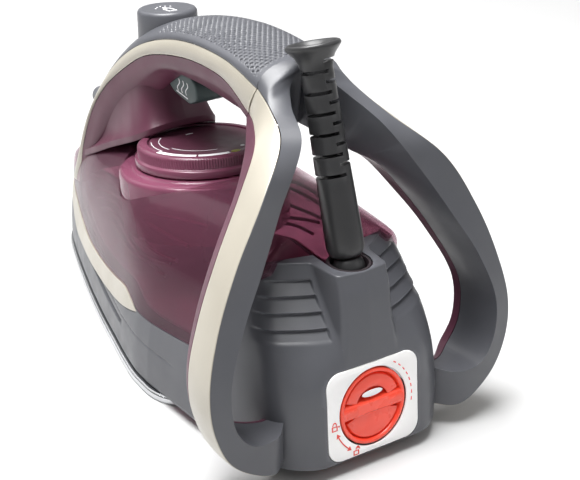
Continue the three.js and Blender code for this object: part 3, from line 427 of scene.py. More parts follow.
class Nodes:
    """Short way to build a material's node tree."""

    def __init__(self, name):
        self.material = bpy.data.materials.new(name)
        self.material.use_nodes = True
        self.tree = self.material.node_tree
        self.shader = self.tree.nodes["Principled BSDF"]
        self.out = self.tree.nodes["Material Output"]
        self.place = self.add("ShaderNodeTexCoord").outputs["Object"]

    def add(self, kind, **settings):
        node = self.tree.nodes.new(kind)
        for key, value in settings.items():
            setattr(node, key, value)
        return node

    def link(self, source, target):
        self.tree.links.new(source, target)

    def noise(self, scale, detail=2.0, stretch=None):
        node = self.add("ShaderNodeTexNoise")
        node.inputs["Scale"].default_value = scale
        node.inputs["Detail"].default_value = detail
        place = self.place
        if stretch:
            mapping = self.add("ShaderNodeMapping")
            mapping.inputs["Scale"].default_value = stretch
            self.link(place, mapping.inputs["Vector"])
            place = mapping.outputs["Vector"]
        self.link(place, node.inputs["Vector"])
        return node.outputs["Fac"]

    def remap(self, value, low, high, start=0.3, end=0.7):
        node = self.add("ShaderNodeMapRange")
        for key, number in (("From Min", start), ("From Max", end), ("To Min", low), ("To Max", high)):
            node.inputs[key].default_value = number
        self.link(value, node.inputs["Value"])
        return node.outputs["Result"]

    def mix(self, factor, first, second):
        node = self.add("ShaderNodeMix", data_type="RGBA")
        self.link(factor, node.inputs["Factor"])
        for key, colour in (("A", first), ("B", second)):
            socket = [s for s in node.inputs if s.name == key and s.type == "RGBA"][0]
            if isinstance(colour, tuple):
                socket.default_value = colour
            else:
                self.link(colour, socket)
        return [s for s in node.outputs if s.type == "RGBA"][0]

    def bump(self, height, strength, distance):
        node = self.add("ShaderNodeBump")
        node.inputs["Strength"].default_value = strength
        node.inputs["Distance"].default_value = distance * MM
        self.link(height, node.inputs["Height"])
        self.link(node.outputs["Normal"], self.shader.inputs["Normal"])

    def edge_highlight(self, colour, highlight_colour, amount):
        """Lighter colour painted along sharp convex edges as a highlight."""
        geometry = self.add("ShaderNodeNewGeometry")
        edge = self.remap(geometry.outputs["Pointiness"], 0.0, amount, 0.53, 0.62)
        return self.mix(edge, colour, highlight_colour)


def shade(colour, factor):
    return tuple(min(255, c * factor) for c in colour)


LOOK = {}


def finish(name, colour, roughness=0.4, grain=0.25, grain_scale=2200, mottle=0.06, metallic=0.0,
           coat=0.0, speckle=0.0, edge_highlight=0.25, specular=0.5, stretch=None):
    """Moulded or metal finish: mottled colour, speckle, fine grain, uneven gloss and a highlight painted
    along sharp convex edges.
    """
    n = Nodes(name)
    broad = n.remap(n.noise(26, 3), 0, 1)
    fine = n.noise(grain_scale, 2, stretch)
    base = n.mix(broad, linear(shade(colour, 1 - mottle)), linear(shade(colour, 1 + mottle)))
    if speckle:
        dots = n.remap(n.noise(grain_scale * 1.7, 1), 0, speckle, 0.45, 0.75)
        base = n.mix(dots, base, linear(shade(colour, 0.72)))
    # Sharp convex edges get a lighter colour: a painted highlight.
    base = n.edge_highlight(base, linear(shade(colour, 1.35)), edge_highlight)
    n.link(base, n.shader.inputs["Base Color"])
    n.link(n.remap(n.noise(90, 3), roughness - 0.05, roughness + 0.07), n.shader.inputs["Roughness"])
    n.bump(fine, grain, 0.06)
    n.shader.inputs["Metallic"].default_value = metallic
    n.shader.inputs["Coat Weight"].default_value = coat
    n.shader.inputs["Coat Roughness"].default_value = 0.12
    n.shader.inputs["Specular IOR Level"].default_value = specular
    LOOK[name] = n.material


def clear_finish(name, colour, tint, see_through, roughness=0.14):
    """Tinted clear plastic: a glossy skin that lets part of the light straight through."""
    n = Nodes(name)
    broad = n.remap(n.noise(18, 3), 0, 1)
    flow = n.remap(n.noise(30, 2, (1, 0.25, 1.4)), 0, 1)
    mottled = n.mix(broad, linear(shade(colour, 0.94)), linear(shade(colour, 1.08)))
    n.link(mottled, n.shader.inputs["Base Color"])
    n.link(n.remap(n.noise(60, 2), roughness - 0.04, roughness + 0.06), n.shader.inputs["Roughness"])
    n.bump(flow, 0.06, 0.8)
    n.shader.inputs["Coat Weight"].default_value = 0.25
    n.shader.inputs["Specular IOR Level"].default_value = 0.4
    clear = n.add("ShaderNodeBsdfTransparent")
    clear.inputs["Color"].default_value = linear(tint)
    facing = n.add("ShaderNodeLayerWeight")
    facing.inputs["Blend"].default_value = 0.35
    through_part = n.remap(facing.outputs["Facing"], see_through, see_through * 0.35, 0.0, 1.0)
    blend = n.add("ShaderNodeMixShader")
    n.link(through_part, blend.inputs["Fac"])
    n.link(n.shader.outputs["BSDF"], blend.inputs[1])
    n.link(clear.outputs["BSDF"], blend.inputs[2])
    n.link(blend.outputs["Shader"], n.out.inputs["Surface"])
    LOOK[name] = n.material


GREY, CHAMPAGNE, PLUM, RED = (80, 81, 86), (176, 170, 157), (90, 50, 66), (240, 70, 46)
finish("grey_plastic", GREY, 0.36, 0.2, mottle=0.03)
finish("champagne_trim", CHAMPAGNE, 0.34, 0.12, 5200, 0.02, 0.12, speckle=0.35, coat=0.2)
finish("plum_plastic", PLUM, 0.38, 0.18, mottle=0.05, specular=0.35)
clear_finish("clear_plum", (94, 60, 75), (232, 200, 213), 0.84)
clear_finish("dial_plum", (112, 62, 82), (220, 160, 185), 0.18, 0.2)
finish("dark_plastic", (38, 30, 34), 0.5, 0.3)
finish("trigger_plastic", (60, 74, 74), 0.38, 0.2)
# The black rubber gets a stronger painted highlight along its sharp edges.
finish("black_rubber", (44, 44, 45), 0.34, 0.35, 1700, edge_highlight=0.5)
finish("red_plastic", RED, 0.3, 0.12, mottle=0.03, coat=0.3)
finish("white_label", (246, 245, 244), 0.45, 0.1, 3000, 0.01)
finish("chrome_sole", (205, 206, 208), 0.14, 0.08, 900, 0.04, 1.0, stretch=(1, 12, 1))
finish("cast_aluminium", (165, 168, 170), 0.5, 0.5, 900, 0.1, 0.9)
finish("steel", (176, 178, 180), 0.3, 0.1, 1400, 0.05, 1.0)
finish("brass", (190, 160, 92), 0.35, 0.2, 1400, 0.08, 1.0)
finish("seal_rubber", (85, 60, 56), 0.7, 0.4, 1500)
finish("hose_plastic", (214, 210, 202), 0.4, 0.15)
finish("tank_inside", (150, 122, 132), 0.45, 0.1, mottle=0.08)
clear_finish("seat_plum", (124, 70, 92), (230, 176, 198), 0.35, 0.2)
finish("print_white", (236, 236, 238), 0.5, 0.05, 3000, 0.01)
finish("print_red", (226, 72, 62), 0.5, 0.05, 3000, 0.03)
finish("print_green", (142, 140, 30), 0.45, 0.05, 3000, 0.1)


replaced = set()


def cad_looks():
    """Finishes for the working parts that keep their CAD shape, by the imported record's material slots."""
    for part in frame["record"]["subparts"]:
        if part["node"] not in replaced:
            mesh = frame["nodes"][part["node"]].data
            mesh.materials.clear()
            mesh.materials.append(LOOK[part["material_slot"]])


def add(piece, body, slot, nodes=(), look=None, sharp=32):
    """Gives a piece its finish, its smooth shading, its CAD body and the CAD nodes it stands for."""
    piece.data.materials.clear()
    piece.data.materials.append(LOOK[look or slot])
    piece.data.shade_smooth()
    piece.data.set_sharp_from_angle(angle=math.radians(sharp))
    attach(piece, body)
    if nodes:
        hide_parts(*nodes)
        replaced.update(nodes)
    return piece


def sided(kind, side, rows, thickness, centre, slot, gap=SIDE_GAP, edge=0.3):
    """One piece of a left and right pair, from rows laid out on the right."""
    name = kind + ("_right" if side > 0 else "_left")
    piece = sheet(name, rows * (side, 1, 1), thickness, centre * (side, 1, 1), gap, edge)
    return add(piece, "base", slot, [name])


# ------------------------------------------------------------------ body: skirt, tank, rear cover
# How far the body stands in from the soleplate's edge; the tank's wall, nose and rounded rear edge; and
# the height of the rear landing, with the place of the tank's rear wall at its foot and at the landing.
SOLE_LEDGE = 1.2
TANK_WALL, TANK_NOSE, TANK_EDGE = 2.0, 150.3, 3
LANDING_Z, TANK_REAR_Y = 87, (-54, -79.4)


def body_half(y):
    """Half-width of the body's foot: inside the soleplate's edge, then drawn in straight to the rear."""
    y = np.asarray(y, float)
    straight = SOLE_HALF[-1][1] - SOLE_LEDGE + (y - SOLE_WAIST) * 0.06
    return np.where(y > SOLE_WAIST, sole_half(y) - SOLE_LEDGE, straight)


def tank_point(y, a):
    """Half-width and height of the tank's skin at a place along the iron and an angle round its arch."""
    waist = np.maximum(body_half(y) - SKIRT_LEAN, 0.4)
    mid = skirt_top(y) + 0.2
    crown = np.maximum(tank_top(y), mid + 0.5) - mid
    power = 2 / tank_square(y)
    return waist * np.cos(a) ** power, mid + crown * np.sin(a) ** power


def tank_rear(z):
    """Place of the tank's rear wall at a height: it leans back to the landing and forward above."""
    low, landing = TANK_REAR_Y
    return np.where(z < LANDING_Z, low - (z - 40.5) * 25.4 / 46.5, landing + (z - LANDING_Z) * 8.4 / 19)


def tank_half():
    """Rows over the right half of the tank, from the middle of its rear wall to the nose."""
    a = np.linspace(0, math.pi / 2, 44)
    rear = np.full_like(a, -60.0)
    for _ in range(12):
        rear = tank_rear(tank_point(rear, a)[1])
    along = np.concatenate([np.linspace(0, 0.86, 100), np.linspace(0.865, 1, 44)])
    y = lerp(rear[None, :], TANK_NOSE, along[:, None])
    x, z = tank_point(y, a[None, :])
    half = np.stack([x, y, z], -1)
    first = half[0]
    middle = np.array([0, 0, 52.0]) + first * (0, 1, 0)
    inward = unit(middle - first)
    end = [first + inward * TANK_EDGE * (1 - math.cos(turn)) + (0, TANK_EDGE * (1 - math.sin(turn)), 0)
           for turn in np.linspace(math.pi / 2, 0.25, 5)]
    end = [lerp(middle, end[0], s) for s in (0.3, 0.6, 0.85)] + end
    return np.concatenate([np.array(end), half[3:]])


def water_tank():
    shell = wall("tank_shell", mirrored(tank_half()), TANK_WALL,
                 [(0, y, 55) for y in range(-60, 150, 10)], merge=0.05)
    bore = lathe("bore", [(0, -40), (DIAL_BORE, -40), (DIAL_BORE, 60), (0, 60)], 96, DIAL_SEAT)
    return add(cut(shell, bore), "base", "clear_plum", ["water_tank"])


def tank_ribs():
    """Waves and baffles moulded inside the tank wall, seen through it."""
    ribs = []
    for k in range(5):
        t = np.linspace(0, 1, 60)
        y = lerp(118 - 9 * k, -44 + 6 * k, t)
        drop = 9 + 6.5 * k + 2.2 * np.sin(t * (5 + k) + k)
        half = body_half(y) - 6 - 1.1 * k
        power = 2 / tank_square(y)
        z = np.maximum(tank_top(y) - 8 - drop, skirt_top(y) + 6)
        level = np.clip((z - skirt_top(y)) / (tank_top(y) - 4 - skirt_top(y)), 0, 0.97)
        x = half * (1 - level ** (2 / power)) ** (power / 2) - 2
        line = np.stack([x, y, z], -1)[::6]
        ribs += [bar(f"rib_{k}_{side}", line * (side, 1, 1), 0.9, 8, 50) for side in (1, -1)]
    return add(join("tank_ribs", ribs), "base", "clear_plum", look="plum_plastic")


def tank_floor():
    """Opaque bottom of the tank behind the skirt, sagging towards its middle line."""
    rows = []
    for y in np.linspace(-72, 146, 60):
        half = max(float(body_half(y)) - 8, 0.5)
        x = np.linspace(half, -half, 31)
        dip = 3.0 * np.cos(x / max(half, 1) * math.pi / 2)
        rows.append(np.stack([x, np.full_like(x, y), float(skirt_top(y)) + 2.5 - dip], -1))
    piece = sheet("tank_floor", np.array(rows), 1.5, [(0, 0, -200)])
    return add(piece, "base", "clear_plum", look="tank_inside")


def dial_seat():
    profile = [(11.5, -38), (40.2, -38), (40.4, -12.5), (40.2, -11.3), (39.5, -10.5), (38.4, -10.1),
               (35, -9.9), (34.3, -9.7), (33.8, -9.2), (32.9, -9.0), (11.5, -9.2), (11.5, -38)]
    piece = lathe("dial_seat", profile, 120, DIAL_SEAT)
    return add(piece, "base", "clear_plum", ["dial_seat"], "seat_plum")


def skirt_side(y, z, foot):
    """Half-width of the skirt's bellied side at one place along the iron and a row of heights."""
    level = (z - SKIRT_FOOT) / (float(skirt_top(y)) - SKIRT_FOOT)
    return lerp(foot, foot - SKIRT_LEAN, level) + 0.9 * np.sin(level * math.pi)


def skirt_grooves(y, z):
    """Depth of the skirt's long slot, of the fine seam over it and of the step for its strip."""
    slot_z = 19.5 + 4.5 * np.clip((y - 10) / 80, -0.2, 1) ** 2 - 2.5 * np.clip((y - 60) / 60, 0, 1)
    seam_z = slot_z + 4.2 + 0.03 * max(y - 20, 0)
    slot_ends = np.clip(min(y - 14, 104 - y) / 5, 0, 1)
    seam_ends = np.clip(min(y + 40, 120 - y) / 6, 0, 1)
    strip = np.clip((z - float(trim_low(y)) + 0.3) / 0.5, 0, 1) * np.clip((y + 3) / 2, 0, 1)
    return (1.5 * slot_ends * np.exp(-((z - slot_z) / 1.15) ** 4)
            + 0.35 * seam_ends * np.exp(-((z - seam_z) / 0.35) ** 2) + 1.3 * strip)


def skirt():
    levels = np.linspace(0, 1, 60)
    rows = []
    for y in np.concatenate([np.linspace(-56, 130, 210), np.linspace(131, 150.4, 40)]):
        foot = max(float(body_half(y)), 0.5)
        z = SKIRT_FOOT + (float(skirt_top(y)) - 0.2 - SKIRT_FOOT) * levels
        x = lerp(foot, max(foot - SKIRT_LEAN, 0.4), levels) + 0.9 * np.sin(levels * math.pi)
        x = np.where(z < 6.5, x - (6.5 - z) * 0.35, x) - skirt_grooves(y, z)
        rows.append(np.stack([np.maximum(x, 0.2), np.full_like(z, y), z], -1))
    right = np.array(rows)
    nose = right[-1]
    bow = [np.stack([nose[:, 0] * s, nose[:, 1] + 1.3 * (1 - s * s), nose[:, 2]], -1)
           for s in np.linspace(1, -1, 9)[1:-1]]
    rows = np.concatenate([right, np.array(bow), flip(right)[::-1]])
    piece = sheet("skirt", rows, WALL - 0.6, [(0, y, 20) for y in range(-60, 150, 10)], edge=0.3)
    return add(piece, "base", "grey_plastic", ["skirt"])


def skirt_trim(side):
    rows = []
    for y in np.linspace(149.4, -3.4, 120):
        low = float(trim_low(y)) + 0.1
        z = np.linspace(low, max(float(skirt_top(y)) - 0.5, low + 0.4), 14)
        x = skirt_side(y, z, max(float(body_half(y)), 0.6)) + 0.25
        rows.append(np.stack([x, np.full_like(z, y), z], -1))
    middle = np.array([(0, y, 30) for y in range(-20, 140, 10)])
    return sided("skirt_trim", side, np.array(rows), 1.3, middle, "champagne_trim", gap=0)


def sole_outline(inset=0.0):
    """Soleplate outline pulled in by an inset, clockwise from the nose down the right side."""
    ys = np.concatenate([152 - inset * 1.6 - 12 * np.linspace(0, 1, 20) ** 2,
                         np.linspace(139 - inset * 1.6, SOLE_WAIST, 90)[1:]])
    right = [(max(float(sole_half(y + inset * 0.4)) - inset, 0), y) for y in ys]
    half, deep = SOLE_HALF[-1][1] - inset, SOLE_WAIST - SOLE_HEEL - inset
    right += [(half * math.cos(a) ** 0.8, SOLE_WAIST - deep * math.sin(a) ** 0.9)
              for a in np.linspace(0.02, math.pi / 2 - 0.05, 30)]
    return right + [(-x, y) for x, y in reversed(right) if x > 0.05]


STEAM_HOLES = [(side * float(sole_half(y)) * 0.62, y) for y in (126, 104, 80, 56, 30, 4) for side in (1, -1)]
STEAM_HOLES += [(0, 134), (22, -22), (-22, -22)]
STEAM_HOLE_R = 1.5


def soleplate():
    outlines = [sole_outline()] + [ring(STEAM_HOLE_R, 16, hole) for hole in STEAM_HOLES]
    piece = plate("soleplate", outlines, 0, SOLE_THICK, 0.8)
    lip = plate("lip", [sole_outline(0.4), sole_outline(5)], SOLE_THICK - 0.2, SKIRT_FOOT - 0.3, 0.2)
    return add(join("soleplate_face", [piece, lip]), "base", "chrome_sole", ["soleplate"])


def heel_y(z):
    """Place of the flat rear face at a height: it leans forward as it rises."""
    return HEEL_CENTRE[1] + (z - HEEL_CENTRE[2]) * math.tan(math.radians(HEEL_LEAN))


# Half outline of the rear cover at rising heights: front edge, flank, crease, shoulder, foot of the
# ridge, ridge and middle of the heel.
REAR_LEVELS = {
    8: [(52, -56.6), (49.5, -84), (42.5, -108), (30, None), (15, None), (12, None), (0, None)],
    24: [(52.4, -56.6), (49.5, -83), (42.5, -107), (30, None), (15, None), (12, None), (0, None)],
    40: [(51.4, -56.6), (48.5, -82), (42.5, -103), (29, None), (15, None), (12, None), (0, None)],
    50: [(49.6, -60.5), (47, -80), (41.8, -99.5), (27, -109), (15, -110.9), (12.8, -111.2), (0, -111.5)],
    58: [(48, -64), (45.6, -78.6), (41, -95), (25.5, -103.4), (15, -107), (13, -109.6), (0, -110.2)],
    66: [(45.5, -68), (43.5, -78), (39, -89.5), (24, -97.5), (15, -100.5), (13, -107.6), (0, -108.6)],
    78: [(40.5, -72), (38, -77), (34, -82.5), (22, -88.5), (15, -91), (13, -104.6), (0, -106)],
    86: [(31, -75), (29.2, -76.5), (25.5, -79), (19, -83.5), (15, -85.5), (13, -101.5), (0, -103)],
}
RIB_LOW, RIB_HIGH, RIBS, RIB_DEEP = 58.5, 81.5, 4, 2.1
LANDING_EDGE = 0.9


def rear_edges(z):
    """Long edges of the rear cover's right half at rising heights; None in the table is the heel's face."""
    edges = []
    for k in range(7):
        half = [(level, points[k][0]) for level, points in REAR_LEVELS.items()]
        place = [(level, heel_y(level) if points[k][1] is None else points[k][1])
                 for level, points in REAR_LEVELS.items()]
        edges.append(np.stack([through(half)(z), through(place)(z), z], -1))
    return edges


def rear_rows():
    z = np.concatenate([np.linspace(6.6, 9, 5), np.linspace(10, 56, 50), np.linspace(56.3, 86, 120)])
    place = rear_edges(z)
    half = rounded(place, [10, 9, 9, 2.0, 2.4], flat=14, turn=8)
    ribbed = np.clip((z - RIB_LOW) / 1.5, 0, 1) * np.clip((RIB_HIGH - z) / 1.5, 0, 1)
    wave = ((z - RIB_LOW) / (RIB_HIGH - RIB_LOW) * RIBS) % 1.0
    step = np.where(wave < 0.8, wave / 0.8, (1 - wave) / 0.2) * RIB_DEEP * ribbed
    crease, foot = place[2][:, :1], place[4][:, :1]
    x = half[..., 0]
    mask = np.clip((crease + 3 - x) / 3, 0, 1) * np.clip((x - foot - 1.6) / 0.8, 0, 1)
    normal = unit(half * (1, 1, 0) + (-8, 66, 0))
    return mirrored(half - normal * (step[:, None] * mask)[..., None])


def landing(rows):
    """Rows that close the cover's top with a rounded edge and a flat landing."""
    top = rows[-1]
    middle = np.stack([np.zeros(len(top)), np.clip(top[:, 1], -96, -82), top[:, 2]], -1)
    toward = middle - top
    room = 0.4 * np.linalg.norm(toward, axis=1, keepdims=True)
    made = [top + unit(toward) * np.minimum(LANDING_EDGE * (1 - math.cos(a)), room)
            + (0, 0, LANDING_EDGE * math.sin(a)) for a in np.linspace(0.3, math.pi / 2, 4)]
    made += [lerp(made[-1], middle + (0, 0, LANDING_EDGE), s) for s in np.linspace(0.15, 1, 6)]
    return np.concatenate([rows, np.array(made)])


def rear_cover():
    piece = wall("rear_cover_skin", landing(rear_rows()), WALL,
                 [(0, -70, z) for z in range(10, 90, 10)], merge=0.02)
    well = lathe("well", [(0, -12), (KNOB_HOLE + 0.3, -12), (KNOB_HOLE + 0.3, 6), (0, 6)], 72, HEEL_SEAT)
    outline = rounded_box(LABEL_HALF + 0.35, LABEL_TALL / 2 + 0.35, LABEL_CORNER)
    pocket = plate("pocket", [outline], -0.75, 6, 0.05, HEEL_SEAT)
    bowl = BALL_R + 2.4
    arch = [(bowl * math.cos(a), BALL_CENTRE[1] + bowl * math.sin(a)) for a in np.linspace(0, -math.pi, 32)]
    cup = capped("cup", [[(x, y, z) for x, y in [(bowl, -70)] + arch + [(-bowl, -70)]] for z in (79, 96)])
    cut(piece, well, pocket, cup)
    return add(soften(piece, 0.3, 50), "base", "grey_plastic", ["rear_cover"], sharp=38)


def cord_socket():
    r = BALL_R + 2.2
    profile = [(r, 76), (r, 86), (r - 0.5, 86.7), (r - 1.4, 86.7), (r - 1.9, 85.8), (r - 1.9, 76)]
    piece = lathe("cord_socket", profile, 72, seat((0, BALL_CENTRE[1], 0), 0))
    return add(piece, "base", "grey_plastic", ["cord_socket"], "dark_plastic")


# ------------------------------------------------------------------ handle
def handle_at(t):
    return {name: curve(t) for name, curve in handle.items()}


# Where the broad grip ends along the handle; the dashes' pitch and half-size along and across it, and
# their depth; the door's hole and the trigger's slot as (y, z) outlines, and where the door starts and ends.
GRIP_END = 0.36
DIMPLE_PITCH, DIMPLE_HALF, DIMPLE_DEPTH = (1.95, 2.7), (0.52, 0.8), 0.6
DOOR_HOLE = [(89.8, 150), (89.8, 105), (108, 90), (130, 125)]
DOOR_FROM, DOOR_TO = 91.2, 111.5
TRIGGER_SLOT = [(13.5, 115), (49, 115), (49, 141), (13.5, 141)]


def dimple_depth(across, along):
    """Depth of the staggered dashes pressed into the grip, at places measured over its surface."""
    step, pitch = DIMPLE_PITCH
    row = np.round(along / step)
    offset = np.where(row % 2 == 0, 0, pitch / 2)
    off_row = np.abs(along - row * step) / DIMPLE_HALF[0]
    off_dash = np.abs((across - offset + pitch / 2) % pitch - pitch / 2) / DIMPLE_HALF[1]
    return DIMPLE_DEPTH * np.clip(1.3 - np.hypot(off_row, off_dash), 0, 0.5) / 0.5


def crown_rows(t):
    """Rows over the handle's crown from seam to seam: a broad dome over the grip, keener down the nose."""
    e = handle_at(t)
    dome = 1 - 0.65 * np.clip((t - GRIP_END) / 0.2, 0, 1)
    corner = e["top"] + (e["trim_top"] - e["top"]) * dome[:, None] * (1, 0, 0)
    return mirrored(bent(e["trim_top"], corner, e["top"], 84, 0.5, 0.55))


def dimpled(rows, top):
    """Crown rows with dashes pressed in over the grip, clear of its seams and ending in a bow."""
    along = np.cumsum(np.r_[0, np.linalg.norm(np.diff(top, axis=0), axis=1)])[:, None]
    steps = np.linalg.norm(np.diff(rows, axis=1), axis=2)
    across = np.cumsum(np.concatenate([np.zeros((len(rows), 1)), steps], axis=1), axis=1)
    width = across[:, -1:]
    normal = unit(np.cross(np.gradient(rows, axis=0), np.gradient(rows, axis=1)))
    normal *= np.sign(normal[..., 2:3])
    share = np.abs(across / width - 0.5) * 2
    front = 88 - 10 * (1 - share) ** 2
    mask = np.clip((np.minimum(across, width - across) - 3.4) / 0.5, 0, 1)
    mask *= np.clip((along - 2.2) / 0.5, 0, 1) * np.clip((front - along) / 0.5, 0, 1)
    depth = dimple_depth(across - width / 2, np.broadcast_to(along, across.shape)) * mask
    return rows - normal * depth[..., None]


def grip_cover():
    t = np.concatenate([np.linspace(0, GRIP_END, 330, endpoint=False), np.linspace(GRIP_END, 1, 120)])
    e = handle_at(t)
    rows = dimpled(pull_ends(crown_rows(t), 0.3), e["top"])
    piece = wall("grip_cover_skin", rows, WALL, (e["top"] + e["trim_low"] * (0, 1, 1))[::20] / 2)
    hole_r = BUTTON_R + BUTTON_GAP
    hole = lathe("hole", [(0, -30), (hole_r, -30), (hole_r, 30), (0, 30)], 72, BUTTON_SEAT)
    cut(piece, hole, prism("door_hole", DOOR_HOLE, 9))
    return add(piece, "base", "grey_plastic", ["grip_cover"], sharp=40)


def fill_door():
    t = np.linspace(0, 1, 400)
    place = handle["top"](t)[:, 1]
    rows = []
    for row in crown_rows(t[(place > DOOR_FROM) & (place < DOOR_TO)]):
        chosen = row[np.abs(row[:, 0]) < 8.6]
        s = np.linspace(0, len(chosen) - 1, 25)
        rows.append(np.stack([np.interp(s, range(len(chosen)), chosen[:, k]) for k in range(3)], -1))
    rows = np.array(rows)
    hatch = 0.3 * (np.sin(np.arange(len(rows)) * 1.1) > 0.3)[:, None] * (np.abs(rows[..., 0]) < 6.5)
    rows = rows + hatch[..., None] * np.array([0, 0.6, 0.8])
    piece = sheet("fill_door", rows, WALL, [(0, 80, 90)], edge=0.3)
    return add(piece, "door", "grey_plastic", ["fill_door"], sharp=40)


def handle_trim(side):
    e = handle_at(np.linspace(0, 1, 220))
    top, low = e["trim_top"], e["trim_low"]
    rows = bent(top, lerp(top, low, 0.5) + (1.6, 0, 0), low, 16, 0.6, 0.6)
    rows[..., 0] += 0.35 * np.sin(np.linspace(0, math.pi, 16))
    return sided("handle_trim", side, rows, TRIM, ((top + low) / 2 * (0, 1, 1))[::10], "champagne_trim")


# The web between the hand opening and the tank, each line from the cheek round to the middle at the rear:
# where it leaves the grip, the waist its sides are drawn in to, and the rim of its foot above the dial.
WEB_TOP = [(17, 104, 74), (18, 93, 86), (18.5, 82, 98), (18.5, 70, 110), (18, 60, 120), (16, 52.5, 128),
           (9.5, 48.5, 134), (0, 47, 136)]
WEB_WAIST = [(14, 104, 71), (15, 93, 79), (16, 82, 87), (16.5, 71, 96), (17, 60, 105), (15.5, 51, 110.5),
             (9, 46.5, 112), (0, 45.3, 112.5)]
FOOT_RIM = [(20.5, 105, 69.5), (22, 90, 77), (22.3, 76, 84.5), (22.3, 62, 91.5), (21.8, 50, 97.5),
            (18.5, 42, 102.3), (10, 39, 105), (0, 38.6, 105.7)]
FOOT_BAND = 3.6


def web():
    s, u = np.linspace(0, 1, 120), np.linspace(0, 1, 48)[None, :, None]
    top, waist, rim = (spline(line)(s) for line in (WEB_TOP, WEB_WAIST, FOOT_RIM))
    scoop = (1 - u) ** 2 * top[:, None] + 2 * u * (1 - u) * waist[:, None] + u ** 2 * rim[:, None]
    low = rim - (0, 0, FOOT_BAND)
    inward = unit((waist - rim) * (1, 1, 0))
    foot = rounded([scoop[:, -2], rim, low, low + inward * 5], [1.2, 1.0], flat=3, turn=5)
    rows = np.concatenate([scoop[:, :-2], foot], axis=1)
    rows = np.concatenate([rows, flip(rows[:-1])[::-1]])
    return wall("web", rows, 1.6, waist[::10] * (0, 1, 1) + (0, 14, 0))


# Lower edge of the grip's side walls: wide over the hand opening, then drawn in beside the web.
GRIP_LOW = [(11, -48, 134.6), (14, -28, 135), (14, -8, 135.6), (14, 8, 136), (13, 24, 134.6), (9.4, 44, 120),
            (9.4, 60, 106), (9.4, 72, 94), (11, 86, 82), (12, 96, 70), (11, 108, 55)]


def handle_shell():
    t = np.linspace(0, 1, 170)
    e = handle_at(t)
    edge = spline(GRIP_LOW)(t)
    bottom = edge * (0, 1, 1) + (0, 0, -0.6)
    half = rounded([e["trim_low"], e["rim"], edge, bottom], [9, 7], flat=8, turn=12)
    rows = pull_ends(mirrored(half), SIDE_GAP)
    grip = wall("grip_underside", rows, 1.8, ((e["top"] + e["trim_low"]) / 2 * (0, 1, 1))[::10])
    cut(grip, prism("slot", TRIGGER_SLOT, 9.1))
    return add(join("handle_shell", [grip, web()]), "base", "plum_plastic", ["handle_shell"], sharp=40)


# ------------------------------------------------------------------ rear legs
def leg_at(t):
    """Edge points of the right leg; near the crown the rear face opens along the arch over the cord."""
    e = {name: curve(t) for name, curve in leg.items()}
    crown = 1 / (len(LEG["rear_inner"]) - 1)
    near = t < crown
    e["rear_inner"][near] = spline(ARCH)(t[near] / crown)
    return e


def leg_stations(count):
    return np.concatenate([np.linspace(0, 0.1, count // 4, endpoint=False), np.linspace(0.1, 1, count)])


def leg_centre(e):
    return sum(e.values()) / len(e)


def rear_shell():
    """Both legs' rear halves: a bent back that runs up into the crown, and a hollow inner side."""
    t = leg_stations(160)
    e = leg_at(t)
    middle = lerp(e["rear_outer"], e["rear_inner"], 0.5)
    crown_corner = (21.0, -50.3, 164.0) - middle[0]
    corner = middle + crown_corner * (np.clip(1 - t / 0.16, 0, 1) ** 2)[:, None]
    back = bent(e["rear_outer"], corner, e["rear_inner"], 26, 0.6, 0.6)
    hollow = rounded([back[:, -2], e["rear_inner"], e["inner"]], [3.2], flat=2, turn=8)
    rows, centre = np.concatenate([back[:, :-2], hollow], axis=1), leg_centre(e)[::6]
    halves = [sheet(f"half_{side}", rows * (side, 1, 1), WALL, centre * (side, 1, 1), SIDE_GAP, 0.3)
              for side in (1, -1)]
    return add(join("rear_shell", halves), "base", "grey_plastic", ["rear_shell"], sharp=40)


def leg_trim(side):
    e = leg_at(leg_stations(140))
    middle = lerp(e["trim_front"], e["rear_outer"], 0.5)
    bow = middle + unit(middle - leg_centre(e)) * 1.6
    rows = bent(e["trim_front"], bow, e["rear_outer"], 16, 0.6, 0.6)
    return sided("leg_trim", side, rows, TRIM, leg_centre(e)[::6], "champagne_trim")


def leg_liner(side):
    e = leg_at(leg_stations(140))
    edges = [e["trim_front"], e["front_outer"], e["front_inner"], e["inner"]]
    rows = rounded(edges, [3, 2], flat=7, turn=7)
    return sided("leg_liner", side, rows, WALL, leg_centre(e)[::6], "plum_plastic", edge=0)


# ------------------------------------------------------------------ dial
# Bands printed on the dial: radius, width, and the start and end of the sweep in degrees.
SCALE_ON_RING = [(27.2, 2.6, -170, -127.5), (27.2, 2.6, -125.5, -95)]
LINES_ON_DISC = [(24.2, 0.4, 150, 188), (20.6, 0.35, 131, 190), (18.4, 0.35, -172, -100), (12.4, 0.5, 80, 98)]


